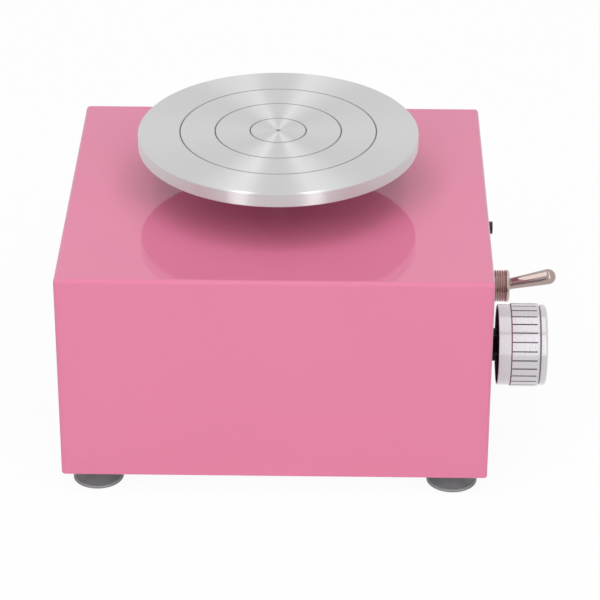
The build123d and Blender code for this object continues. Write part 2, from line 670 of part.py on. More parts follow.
def rotor_windings():
    """Copper windings: a bar in each slot and an end turn at both ends of the armature."""
    outer = CORE_RADIUS - POLE_TIP - WINDING_CLEARANCE
    inner = SLOT_ROOT_RADIUS + WINDING_CLEARANCE
    top = CORE_BOTTOM + CORE_LENGTH
    half = SLOT_WIDTH / 2 - WINDING_CLEARANCE
    low_turn = post(outer, CORE_BOTTOM - WINDING_OVERHANG, CORE_BOTTOM - SEAT_CLEARANCE)
    high_turn = post(outer, top + SEAT_CLEARANCE, top + WINDING_OVERHANG)
    winding = low_turn + high_turn
    winding -= post(inner - 1, CORE_BOTTOM - 2 * WINDING_OVERHANG, top + 2 * WINDING_OVERHANG)
    middle = WINDING_OVERHANG / 2
    bar = block((inner, -half, CORE_BOTTOM - middle), (outer - WINDING_CLEARANCE, half, top + middle))
    for angle in slot_places():
        winding += Rot(0, 0, angle) * bar
    return winding


def commutator():
    """Copper commutator on the shaft, slit into one segment for each pole."""
    top = COMMUTATOR_BOTTOM + COMMUTATOR_LENGTH
    drum = post(COMMUTATOR_DIAMETER / 2, COMMUTATOR_BOTTOM, top)
    drum -= post(SHAFT_RADIUS + SEAT_CLEARANCE, COMMUTATOR_BOTTOM, top)
    slit = block((COMMUTATOR_DIAMETER / 2 - 1, -COMMUTATOR_SLIT / 2, COMMUTATOR_BOTTOM),
                 (COMMUTATOR_DIAMETER, COMMUTATOR_SLIT / 2, top))
    for angle in slot_places():
        drum -= Rot(0, 0, angle) * slit
    return drum


def both_sides(solid):
    """A piece and its opposite, half a turn round the motor's axis."""
    return [solid, Rot(0, 0, 180) * solid]


def motor_brushes():
    """Two carbon brushes against the commutator."""
    half = BRUSH_WIDTH / 2
    brush = block((BRUSH_INNER, -half, BRUSH_Z - half), (BRUSH_INNER + BRUSH_LENGTH, half, BRUSH_Z + half))
    return both_sides(brush)


def brush_holders():
    """Two moulded holders on the end cap that guide the brushes."""
    half = BRUSH_WIDTH / 2
    wall = half + HOLDER_WALL
    holder_outer = HOLDER_INNER + HOLDER_LENGTH
    holder = block((HOLDER_INNER, -wall, CAN_BOTTOM), (holder_outer, wall, BRUSH_Z + wall))
    fit = half + BRUSH_GAP
    channel = block((HOLDER_INNER - 1, -fit, BRUSH_Z - fit), (holder_outer + 1, fit, BRUSH_Z + fit))
    return both_sides(holder - channel)


def motor_terminals():
    """Two brass tabs from the brush holders down through the end cap."""
    low = CAP_BOTTOM - MOTOR_TAB_DROP
    high = BRUSH_Z + BRUSH_WIDTH / 2
    thick = MOTOR_TAB_THICKNESS / 2
    wide = MOTOR_TAB_WIDTH / 2
    return both_sides(block((MOTOR_TAB_X - thick, -wide, low), (MOTOR_TAB_X + thick, wide, high)))


def motor_end_cap():
    """Moulded end cap: spigot into the can, boss for the rear bush and slots for the terminal tabs."""
    spigot = CAN_INNER - BRUSH_GAP
    spigot_inner = spigot - END_CAP_SPIGOT_WALL
    seat = BUSH_DIAMETER / 2 + SEAT_CLEARANCE
    boss = BUSH_DIAMETER / 2 + CAP_BOSS_WALL
    cap = turned([
        (0, CAP_BOSS_BOTTOM),
        (boss, CAP_BOSS_BOTTOM),
        (boss, CAP_BOTTOM),
        (CAN_RADIUS, CAP_BOTTOM),
        (CAN_RADIUS, CAN_BOTTOM),
        (spigot, CAN_BOTTOM),
        (spigot, CAN_BOTTOM + END_CAP_SPIGOT),
        (spigot_inner, CAN_BOTTOM + END_CAP_SPIGOT),
        (spigot_inner, CAN_BOTTOM),
        (seat, CAN_BOTTOM),
        (seat, BUSH_BOTTOM),
        (0, BUSH_BOTTOM),
    ])
    thick = MOTOR_TAB_THICKNESS / 2 + BRUSH_GAP
    wide = MOTOR_TAB_WIDTH / 2 + BRUSH_GAP
    slot = block((MOTOR_TAB_X - thick, -wide, CAP_BOTTOM - 1),
                 (MOTOR_TAB_X + thick, wide, CAN_BOTTOM + END_CAP_SPIGOT + 1))
    for piece in both_sides(slot):
        cap -= piece
    return cap


def rear_bush():
    """Sintered bronze bush that steadies the lower end of the shaft."""
    bush = post(BUSH_DIAMETER / 2, BUSH_BOTTOM, BUSH_TOP)
    return bush - post(SHAFT_RADIUS + SHAFT_RUNNING_CLEARANCE, BUSH_BOTTOM, BUSH_TOP)


def bearing_ring(inner, outer):
    """One ring of the ball bearing with its running groove."""
    low = BEARING_MIDDLE - BEARING_WIDTH / 2
    high = BEARING_MIDDLE + BEARING_WIDTH / 2
    ring = post(outer, low, high) - post(inner, low, high)
    return ring - Pos(0, 0, BEARING_MIDDLE) * Torus(BALL_PITCH_RADIUS, RACE_RADIUS)


def ball_angles():
    """Angles of the balls round the bearing."""
    return [360.0 / BALL_COUNT * (i + 0.5) for i in range(BALL_COUNT)]


def bearing_balls():
    """Steel balls of the front bearing."""
    ball = Pos(BALL_PITCH_RADIUS, 0, BEARING_MIDDLE) * Sphere(BALL_RADIUS)
    return [Rot(0, 0, angle) * ball for angle in ball_angles()]


def bearing_cage():
    """Ring with a drilled pocket for each ball."""
    thin = BALL_RADIUS * 0.45
    tall = RACE_RADIUS * 1.3
    cage = post(BALL_PITCH_RADIUS + thin, BEARING_MIDDLE - tall, BEARING_MIDDLE + tall)
    cage -= post(BALL_PITCH_RADIUS - thin, BEARING_MIDDLE - tall, BEARING_MIDDLE + tall)
    pocket = Pos(0, 0, BEARING_MIDDLE) * rod(RACE_RADIUS, 0, BEARING_DIAMETER / 2)
    for angle in ball_angles():
        cage -= Rot(0, 0, angle) * pocket
    return cage


# Speed knob and potentiometer
def knob_body():
    """Turned aluminium knob: smooth collar, fluted grip, fine groove and rounded nose, hollow behind."""
    collar = KNOB_COLLAR_DIAMETER / 2
    grip = KNOB_DIAMETER / 2
    nose = KNOB_NOSE_DIAMETER / 2
    collar_end = KNOB_BACK + KNOB_COLLAR_LENGTH
    grip_end = collar_end + KNOB_GRIP_LENGTH
    core = KNOB_CORE_DIAMETER / 2
    core_end = KNOB_BACK + KNOB_CORE_RECESS + KNOB_CORE_LENGTH
    cover = KNOB_BACK_DIAMETER / 2
    cover_end = KNOB_BACK + KNOB_CORE_RECESS + KNOB_BACK_THICKNESS
    body = turned([
        (cover_end, core),
        (cover_end, cover),
        (KNOB_BACK, cover),
        (KNOB_BACK, collar),
        (collar_end, collar),
        (collar_end, grip),
        (grip_end, grip),
        (grip_end, nose - KNOB_GROOVE_DEPTH),
        (grip_end + KNOB_GROOVE_WIDTH, nose - KNOB_GROOVE_DEPTH),
        (grip_end + KNOB_GROOVE_WIDTH, nose),
        (KNOB_FRONT, nose),
        (KNOB_FRONT, 0),
        (core_end, 0),
        (core_end, core),
    ], Axis.X)
    nose_rim = body.edges().filter_by(GeomType.CIRCLE).group_by(Axis.X)[-1]
    body = fillet(nose_rim, min(KNOB_NOSE_ROUND, 0.6 * KNOB_NOSE_LENGTH))
    flute = block((collar_end, -FLUTE_WIDTH / 2, grip - FLUTE_DEPTH),
                  (grip_end - FLUTE_SHY_OF_NOSE, FLUTE_WIDTH / 2, grip + 1))
    body -= [Rot(360.0 / KNOB_FLUTES * (i + 0.5), 0, 0) * flute for i in range(KNOB_FLUTES)]
    return body - knob_screw_axis() * rod(GRUB_DIAMETER / 2 + THREAD_CLEARANCE, 0, KNOB_DIAMETER)


def knob_screw_axis():
    """Radial axis of the knob's set screw, pointing down through the collar."""
    return Pos(KNOB_BACK + KNOB_COLLAR_LENGTH / 2 + KNOB_NUT_POCKET_DEPTH / 2, 0, 0) * Rot(0, 90, 0)


def knob_core():
    """Black moulded core that covers the back of the knob, fills it and grips the shaft."""
    back = KNOB_BACK + KNOB_CORE_RECESS
    front = back + KNOB_CORE_LENGTH - SEAT_CLEARANCE
    core = rod(KNOB_CORE_DIAMETER / 2 - SEAT_CLEARANCE, back, front)
    core += rod(KNOB_BACK_DIAMETER / 2 - SEAT_CLEARANCE, back, back + KNOB_BACK_THICKNESS - SEAT_CLEARANCE)
    core -= rod(KNOB_NUT_POCKET_DIAMETER / 2, back - 1, KNOB_BACK + KNOB_NUT_POCKET_DEPTH)
    core -= rod(POT_SHAFT_DIAMETER / 2 + SEAT_CLEARANCE, back - 1, pot_shaft_end() + SEAT_CLEARANCE)
    return core - knob_screw_axis() * rod(GRUB_DIAMETER / 2 + THREAD_CLEARANCE, 0, KNOB_DIAMETER)


def knob_set_screw():
    """Set screw from the knob's collar to the shaft."""
    start = POT_SHAFT_DIAMETER / 2 + SEAT_CLEARANCE
    return knob_screw_axis() * grub_screw(start, start + KNOB_SCREW_LENGTH)


def pot_shaft_end():
    """Outer end of the potentiometer's shaft."""
    return POT_FACE + POT_SHAFT_LENGTH


def pot_bushing():
    """Front plate and threaded bushing of the potentiometer."""
    plate = rod(POT_DIAMETER / 2, POT_FACE - POT_FRONT, POT_FACE)
    bushing = rod(POT_BUSHING_DIAMETER / 2, POT_FACE, POT_FACE + POT_BUSHING_LENGTH)
    bore_radius = POT_SHAFT_DIAMETER / 2 + SHAFT_RUNNING_CLEARANCE
    return plate + bushing - rod(bore_radius, POT_FACE - 2 * POT_FRONT, POT_BUSHING_LENGTH + SHEET)


def pot_cover():
    """Pressed cover over the back of the potentiometer, notched for its lugs."""
    outer = POT_DIAMETER / 2
    inner = outer - POT_WALL
    front = POT_FACE - POT_FRONT
    cover = rod(outer, POT_BACK, front) - rod(inner, POT_BACK + POT_WALL, front + 1)
    reach = POT_LUG_PITCH + POT_LUG_WIDTH
    notch = block((POT_TRACK_BACK - POT_FIT, -reach, -outer - 1), (POT_TRACK_FACE + POT_FIT, reach, 0))
    return cover - (notch & rod(outer + 1, POT_BACK + POT_WALL, front))


def pot_track():
    """Phenolic disc with the resistance track."""
    inner = POT_DIAMETER / 2 - POT_WALL - POT_FIT
    return rod(inner, POT_TRACK_BACK, POT_TRACK_FACE)


def pot_lugs():
    """Three solder lugs below the track."""
    middle = (POT_TRACK_BACK + POT_TRACK_FACE) / 2
    lugs = []
    for i in (-1, 0, 1):
        start = math.sqrt((POT_DIAMETER / 2 - POT_WALL - POT_FIT) ** 2 - (abs(i) * POT_LUG_PITCH) ** 2)
        side = POT_LUG_WIDTH / 2
        edge = math.sqrt(start ** 2 - 2 * abs(i) * POT_LUG_PITCH * side - side ** 2)
        lug = block((middle - POT_LUG_THICKNESS / 2, i * POT_LUG_PITCH - side, -start - POT_LUG_LENGTH),
                    (middle + POT_LUG_THICKNESS / 2, i * POT_LUG_PITCH + side, -edge))
        lugs.append(lug - rod(POT_DIAMETER / 2 - POT_WALL - POT_FIT + SEAT_CLEARANCE, POT_BACK, POT_FACE))
    return lugs


def pot_shaft():
    """Round shaft from the wiper out into the knob."""
    return rod(POT_SHAFT_DIAMETER / 2, POT_TRACK_FACE + 2 * POT_WIPER_THICKNESS, pot_shaft_end())


def pot_wiper():
    """Wiper disc on the inner end of the shaft with a finger that runs on the track."""
    near = POT_TRACK_FACE + POT_WIPER_THICKNESS
    far = near + POT_WIPER_THICKNESS
    radius = POT_DIAMETER / 2 - POT_WALL - 10 * POT_FIT
    disc = rod(radius, near, far)
    finger = block((POT_TRACK_FACE + POT_FIT, -POT_FINGER_WIDTH / 2, radius * 0.6),
                   (near, POT_FINGER_WIDTH / 2, radius * 0.85))
    return disc + finger


def pot_nut():
    """Nut that holds the potentiometer to the panel, over its washer."""
    nut = hexagon_rod(POT_NUT_FLATS, POT_WASHER_HEIGHT, POT_WASHER_HEIGHT + POT_NUT_HEIGHT)
    return nut - rod(POT_BUSHING_DIAMETER / 2 + THREAD_CLEARANCE, -1, POT_BUSHING_LENGTH)


def flat_washer(diameter, hole, start, height):
    """Plain washer along X."""
    return rod(diameter / 2, start, start + height) - rod(hole / 2, start - 1, start + height + 1)


# Toggle switch
def pin_groove(diameter, reach, bottom, mouth):
    """Pair of grooves, round at the bottom, in which a cross pin slides to its place and then turns."""
    width = diameter + 2 * SWITCH_PIN_CLEARANCE
    span = reach + SWITCH_PIN_CLEARANCE
    low, high = sorted((bottom, mouth))
    run = block((low, -span, -width / 2), (high, span, width / 2))
    return run + Pos(bottom, 0, 0) * cross_pin(width, span)


def lever_pin_reach():
    """How far the lever's cross pin goes to each side, into the bushing's wall."""
    return TOGGLE_BORE_DIAMETER / 2 + LEVER_PIN_SEAT


def rocker_pin_reach():
    """How far the rocker's cross pin goes to each side, into the housing's wall."""
    return TOGGLE_BODY_WIDTH / 2 - TOGGLE_BODY_WALL + ROCKER_PIN_SEAT


def toggle_bushing():
    """Threaded bushing with a plain end, its frame plate behind the panel and grooves for the lever's pin."""
    radius = TOGGLE_THREAD_DIAMETER / 2
    plain = TOGGLE_PROUD - TOGGLE_PLAIN_END
    bore = TOGGLE_BORE_DIAMETER / 2
    mouth = TOGGLE_MOUTH_DIAMETER / 2
    lip = TOGGLE_PROUD - TOGGLE_MOUTH_LIP
    outline = [
        *ridged_rod(radius, TOGGLE_THREAD_PITCH, TOGGLE_THREAD_DEPTH, TOGGLE_FRAME_FRONT, plain),
        (plain, radius),
        (TOGGLE_PROUD - TOGGLE_END_CHAMFER, radius),
        (TOGGLE_PROUD, radius - TOGGLE_END_CHAMFER),
        (TOGGLE_PROUD, mouth),
        (lip, mouth),
        (lip, bore),
        (TOGGLE_FRAME_FRONT, bore),
    ]
    sleeve = turned(outline, Axis.X)
    plate = block((TOGGLE_FRAME_BACK, -TOGGLE_BODY_WIDTH / 2, -TOGGLE_BODY_HEIGHT / 2),
                  (TOGGLE_FRAME_FRONT, TOGGLE_BODY_WIDTH / 2, TOGGLE_BODY_HEIGHT / 2))
    bushing = sleeve + (plate - rod(bore, TOGGLE_FRAME_BACK - 1, TOGGLE_FRAME_FRONT + 1))
    return bushing - pin_groove(LEVER_PIN_DIAMETER, lever_pin_reach(), LEVER_PIVOT, TOGGLE_FRAME_BACK - 1)


def contact_places():
    """Heights of the switch's contacts: one under the rocker's middle and one under each end."""
    reach = ROCKER_SPAN / 2 - CONTACT_THICKNESS
    return (-reach, 0.0, reach)


def toggle_housing():
    """Moulded housing, with slots for the contacts in its back and grooves for the rocker's pin."""
    wide = TOGGLE_BODY_WIDTH / 2
    tall = TOGGLE_BODY_HEIGHT / 2
    wall = TOGGLE_BODY_WALL
    body = block((TOGGLE_BODY_BACK, -wide, -tall), (TOGGLE_FRAME_BACK, wide, tall))
    body -= block((TOGGLE_BODY_BACK + wall, wall - wide, wall - tall),
                  (TOGGLE_FRAME_BACK + 1, wide - wall, tall - wall))
    half = CONTACT_WIDTH / 2 + THREAD_CLEARANCE
    thick = CONTACT_THICKNESS / 2 + THREAD_CLEARANCE
    for z in contact_places():
        body -= block((TOGGLE_BODY_BACK - 1, -half, z - thick),
                      (TOGGLE_BODY_BACK + 2 * wall, half, z + thick))
    return body - pin_groove(ROCKER_PIN_DIAMETER, rocker_pin_reach(), ROCKER_PIVOT, TOGGLE_FRAME_BACK + 1)


def contact_tail():
    """Outer end of the contacts' solder lugs."""
    return TOGGLE_BODY_BACK - CONTACT_TAIL


def toggle_contacts():
    """Three silvered contacts that pass out through the housing's back as solder lugs."""
    half = CONTACT_WIDTH / 2
    thick = CONTACT_THICKNESS / 2
    drop = math.tan(math.radians(ROCKER_TILT))
    contacts = []
    for z in contact_places():
        swing = (abs(z) + thick) * drop + ROCKER_THICKNESS / 2 / math.cos(math.radians(ROCKER_TILT))
        front = ROCKER_PIVOT - swing - CONTACT_GAP
        contacts.append(block((contact_tail(), -half, z - thick), (front, half, z + thick)))
    return contacts


def toggle_rocker():
    """Rocking contact blade on its cross pin, tipped as it lies with the lever up."""
    blade = block((-ROCKER_THICKNESS / 2, -ROCKER_WIDTH / 2, -ROCKER_SPAN / 2),
                  (ROCKER_THICKNESS / 2, ROCKER_WIDTH / 2, ROCKER_SPAN / 2))
    pin = cross_pin(ROCKER_PIN_DIAMETER, rocker_pin_reach())
    return Pos(ROCKER_PIVOT, 0, 0) * Rot(0, ROCKER_TILT, 0) * (blade + pin)


def lever_axis():
    """The lever's own axis, tilted up about its ball."""
    return Pos(LEVER_PIVOT, 0, 0) * Rot(0, -LEVER_TILT, 0)


def toggle_lever():
    """Bat-shaped lever with its pivot ball, cross pin and a tail into the housing."""
    tip = LEVER_TIP_DIAMETER / 2
    root = LEVER_ROOT_DIAMETER / 2
    tail = LEVER_TAIL_DIAMETER / 2
    bat = turned([(0, 0), (0, root), (LEVER_REACH - tip, tip), (LEVER_REACH - tip, 0)], Axis.X)
    bat += Pos(LEVER_REACH - tip, 0, 0) * Sphere(tip)
    bat += Sphere(LEVER_BALL_RADIUS)
    bat += cross_pin(LEVER_PIN_DIAMETER, lever_pin_reach())
    bat += rod(tail, -LEVER_TAIL_LENGTH, 0)
    socket_end = PLUNGER_SPIGOT_LENGTH + SEAT_CLEARANCE - LEVER_TAIL_LENGTH
    bat -= rod(PLUNGER_SPIGOT_DIAMETER / 2 + SEAT_CLEARANCE, -LEVER_TAIL_LENGTH - 1, socket_end)
    return lever_axis() * bat


def toggle_plunger():
    """Round-nosed plunger in the lever's tail that pushes the rocker over."""
    radius = PLUNGER_DIAMETER / 2
    plunger = rod(radius, radius - PLUNGER_REACH, -LEVER_TAIL_LENGTH)
    plunger += Pos(radius - PLUNGER_REACH, 0, 0) * Sphere(radius)
    spigot_end = PLUNGER_SPIGOT_LENGTH - LEVER_TAIL_LENGTH
    plunger += rod(PLUNGER_SPIGOT_DIAMETER / 2, -LEVER_TAIL_LENGTH, spigot_end)
    return lever_axis() * plunger


def toggle_nuts():
    """Hexagon nuts on both sides of the panel."""
    hole = rod(TOGGLE_THREAD_DIAMETER / 2 + THREAD_CLEARANCE, TOGGLE_FRAME_BACK, TOGGLE_PROUD)
    outer = hexagon_rod(TOGGLE_NUT_FLATS, 0, TOGGLE_NUT_HEIGHT) - hole
    inner = hexagon_rod(TOGGLE_NUT_FLATS, -SHEET - TOGGLE_NUT_HEIGHT, -SHEET) - hole
    return [outer, inner]


# Power jack
def jack_barrel():
    """Moulded jack: threaded barrel through the panel, slimmer nose, flange and body, and the plug's bore."""
    bore = JACK_BORE_DIAMETER / 2
    nose = JACK_NOSE_DIAMETER / 2
    pin = JACK_PIN_DIAMETER / 2 + SEAT_CLEARANCE
    thread = ridged_rod(JACK_THREAD_DIAMETER / 2, JACK_THREAD_PITCH, JACK_THREAD_DEPTH,
                        -SHEET, JACK_THREAD_PROUD)
    bottom = JACK_PROUD - JACK_BORE_DEPTH
    outline = [
        *thread,
        (JACK_THREAD_PROUD, nose),
        (JACK_PROUD, nose),
        (JACK_PROUD, bore),
        (bottom, bore),
        (bottom, pin),
        (JACK_BODY_BACK, pin),
        (JACK_BODY_BACK, JACK_BODY_DIAMETER / 2),
        (JACK_FLANGE_BACK, JACK_BODY_DIAMETER / 2),
        (JACK_FLANGE_BACK, JACK_FLANGE_DIAMETER / 2),
        (-SHEET, JACK_FLANGE_DIAMETER / 2),
    ]
    wide = JACK_LUG_WIDTH / 2 + THREAD_CLEARANCE
    thick = JACK_LUG_THICKNESS / 2 + THREAD_CLEARANCE
    slot = block((JACK_BODY_BACK - 1, -wide, JACK_LUG_OFFSET - thick),
                 (JACK_BODY_BACK + JACK_LUG_SINK, wide, JACK_LUG_OFFSET + thick))
    return turned(outline, Axis.X) - slot


def jack_tail():
    """Outer end of the jack's solder tails."""
    return JACK_BODY_BACK - JACK_LUG_LENGTH


def jack_pin():
    """Centre pin, running out behind as a solder tail."""
    pin = rod(JACK_PIN_DIAMETER / 2, jack_tail(), JACK_PROUD - JACK_PIN_SHY)
    return fillet(pin.edges().filter_by(GeomType.CIRCLE).sort_by(Axis.X)[-1], JACK_PIN_DIAMETER * 0.3)


def jack_lug():
    """Solder lug of the sleeve contact, set into the jack's back."""
    thick = JACK_LUG_THICKNESS / 2
    wide = JACK_LUG_WIDTH / 2
    inner = JACK_BODY_BACK + JACK_LUG_SINK - THREAD_CLEARANCE
    return block((jack_tail(), -wide, JACK_LUG_OFFSET - thick), (inner, wide, JACK_LUG_OFFSET + thick))


def jack_nut():
    """Hexagon nut on the outside of the panel."""
    nut = hexagon_rod(JACK_NUT_FLATS, 0, JACK_NUT_HEIGHT)
    return nut - rod(JACK_THREAD_DIAMETER / 2 + THREAD_CLEARANCE, -1, JACK_PROUD)


# Controller board
def board_screw_places():
    """Axes of the board's standoffs."""
    corners = four_corners(BOARD_WIDTH / 2 - BOARD_HOLE_INSET, BOARD_LENGTH / 2 - BOARD_HOLE_INSET)
    return [(BOARD_X + x, BOARD_Y + y) for x, y in corners]


def circuit_board():
    """Glass-fibre board with a hole at each corner."""
    board = block((BOARD_X - BOARD_WIDTH / 2, BOARD_Y - BOARD_LENGTH / 2, BOARD_BOTTOM),
                  (BOARD_X + BOARD_WIDTH / 2, BOARD_Y + BOARD_LENGTH / 2, BOARD_TOP))
    for x, y in board_screw_places():
        board -= Pos(x, y, 0) * post(SCREW_HOLE, BOARD_BOTTOM - 1, BOARD_TOP + 1)
    return board


def board_standoffs():
    """Nylon posts that snap into the base plate and hold the board off it."""
    standoff = post(STANDOFF_DIAMETER / 2, PLATE_TOP, BOARD_BOTTOM)
    standoff += post(STANDOFF_SPIGOT_DIAMETER / 2, CASE_BOTTOM, PLATE_TOP)
    depth = BOARD_SCREW_LENGTH - BOARD_THICKNESS + THREAD_CLEARANCE
    standoff -= post(TAPPED_HOLE, BOARD_BOTTOM - depth, BOARD_BOTTOM + 1)
    return [Pos(x, y, 0) * standoff for x, y in board_screw_places()]


def board_screws():
    """Screws down through the board into the standoffs."""
    screw = Pos(0, 0, BOARD_TOP) * pan_screw(BOARD_SCREW_LENGTH)
    return [Pos(x, y, 0) * screw for x, y in board_screw_places()]


def terminal_front():
    """Front face of the terminal block, along the board's front edge between its screws."""
    return BOARD_Y - BOARD_LENGTH / 2 + 2 * BOARD_HOLE_INSET


def terminal_block():
    """Row of wire clamps with a mouth for each wire."""
    front = terminal_front()
    half = TERMINAL_BLOCK_LENGTH / 2
    body = block((BOARD_X - half, front, BOARD_TOP),
                 (BOARD_X + half, front + TERMINAL_BLOCK_DEPTH, BOARD_TOP + TERMINAL_BLOCK_HEIGHT))
    mouth = Rot(90, 0, 0) * Cylinder(TERMINAL_MOUTH / 2, TERMINAL_MOUTH_DEPTH)
    for x in terminal_ways():
        body -= Pos(x, front + TERMINAL_MOUTH_DEPTH / 2, terminal_height()) * mouth
    return body


def terminal_ways():
    """Places of the terminal block's mouths along X."""
    pitch = TERMINAL_BLOCK_LENGTH / TERMINAL_BLOCK_WAYS
    return [BOARD_X - TERMINAL_BLOCK_LENGTH / 2 + pitch * (i + 0.5) for i in range(TERMINAL_BLOCK_WAYS)]


def terminal_height():
    """Height of the terminal block's mouths."""
    return BOARD_TOP + TERMINAL_BLOCK_HEIGHT * 0.4


def capacitor():
    """Smoothing capacitor that stands on the board."""
    can = post(CAPACITOR_DIAMETER / 2, BOARD_TOP, BOARD_TOP + CAPACITOR_HEIGHT)
    can = fillet(can.edges().filter_by(GeomType.CIRCLE).sort_by(Axis.Z)[-1], CAPACITOR_DIAMETER * 0.08)
    return Pos(BOARD_X + BOARD_WIDTH / 4, BOARD_Y, 0) * can


def sink_back():
    """Back of the heat sink's base, along the board's rear part."""
    return BOARD_Y + BOARD_LENGTH / 2 - 2 * BOARD_HOLE_INSET - HEAT_SINK_FIN_DEPTH


def heat_sink():
    """Finned aluminium heat sink that stands on the board behind the transistor."""
    half = HEAT_SINK_WIDTH / 2
    base = sink_back()
    top = BOARD_TOP + HEAT_SINK_HEIGHT
    sink = block((BOARD_X - half, base - HEAT_SINK_BASE, BOARD_TOP), (BOARD_X + half, base, top))
    step = (HEAT_SINK_WIDTH - HEAT_SINK_FIN) / (HEAT_SINK_FINS - 1)
    for i in range(HEAT_SINK_FINS):
        left = BOARD_X - half + i * step
        sink += block((left, base, BOARD_TOP), (left + HEAT_SINK_FIN, base + HEAT_SINK_FIN_DEPTH, top))
    return sink


def power_transistor():
    """Switching transistor bolted flat against the heat sink."""
    back = sink_back() - HEAT_SINK_BASE
    half = TRANSISTOR_WIDTH / 2
    return block((BOARD_X - half, back - TRANSISTOR_THICKNESS, BOARD_TOP),
                 (BOARD_X + half, back, BOARD_TOP + TRANSISTOR_HEIGHT))


# Wiring
def wire(*points):
    """Round insulated wire along straight runs joined by bends."""
    path = FilletPolyline(*points, radius=WIRE_BEND_RADIUS)
    section = Plane(origin=path @ 0, z_dir=path % 0) * Circle(WIRE_DIAMETER / 2)
    return sweep(section, path=path)


def wire_to_board(start, lane, way):
    """Wire that goes down to the base plate, along its own lane and up to the terminal block."""
    floor = PLATE_TOP + WIRE_DIAMETER / 2 + WIRE_END_GAP
    mouth_x = terminal_ways()[way]
    mouth = (mouth_x, terminal_front() + TERMINAL_MOUTH_DEPTH / 2, terminal_height())
    corner = (start[-1][0], start[-1][1], floor)
    lane_start = [] if corner[1] == lane else [(corner[0], lane, floor)]
    lane_end = [(mouth_x, lane, floor), (mouth_x, lane, terminal_height()), mouth]
    return wire(*start, corner, *lane_start, *lane_end)


def pot_wires():
    """Three wires from the potentiometer's lugs to the board."""
    x = PANEL_X + (POT_TRACK_BACK + POT_TRACK_FACE) / 2
    radius = POT_DIAMETER / 2 - POT_WALL - POT_FIT
    wires = []
    for i in (-1, 0, 1):
        y = KNOB_Y + i * POT_LUG_PITCH
        lug = CONTROL_Z - math.sqrt(radius ** 2 - (i * POT_LUG_PITCH) ** 2) - POT_LUG_LENGTH
        wires.append(wire_to_board([(x, y, lug - WIRE_END_GAP)], y, 1 + i))
    return wires


def power_wires():
    """Wires from the jack to the switch and the board, and from the switch's lower contact to the board."""
    jack_x = PANEL_X + jack_tail() - WIRE_END_GAP
    switch_x = PANEL_X + contact_tail() - WIRE_END_GAP
    turn_x = switch_x - SWITCH_WIRE_TURN
    feed = wire((jack_x, JACK_Y, CONTROL_Z), (jack_x - JACK_WIRE_TURN, JACK_Y, CONTROL_Z),
                (turn_x, JACK_Y / 2, CONTROL_Z), (turn_x, TOGGLE_Y, CONTROL_Z),
                (switch_x, TOGGLE_Y, CONTROL_Z))
    sleeve_z = CONTROL_Z + JACK_LUG_OFFSET
    sleeve = [(jack_x, JACK_Y, sleeve_z), (jack_x - SLEEVE_WIRE_TURN, JACK_Y, sleeve_z)]
    contact_z = CONTROL_Z + contact_places()[0]
    contact = [(switch_x, TOGGLE_Y, contact_z), (turn_x, TOGGLE_Y, contact_z)]
    return [feed, wire_to_board(sleeve, SLEEVE_WIRE_LANE, 3), wire_to_board(contact, SWITCH_WIRE_LANE, 4)]


def motor_wires():
    """Two wires from the motor's terminal tabs to the board."""
    foot = CAP_BOTTOM - MOTOR_TAB_DROP - WIRE_END_GAP
    right = wire_to_board([(MOTOR_TAB_X, 0, foot)], MOTOR_WIRE_LANES[0], 5)
    left = wire_to_board([(-MOTOR_TAB_X, 0, foot)], MOTOR_WIRE_LANES[1], 6)
    return [right, left]


FEET = {
    "foot_front_left": (-1, -1),
    "foot_front_right": (1, -1),
    "foot_rear_left": (-1, 1),
    "foot_rear_right": (1, 1),
}


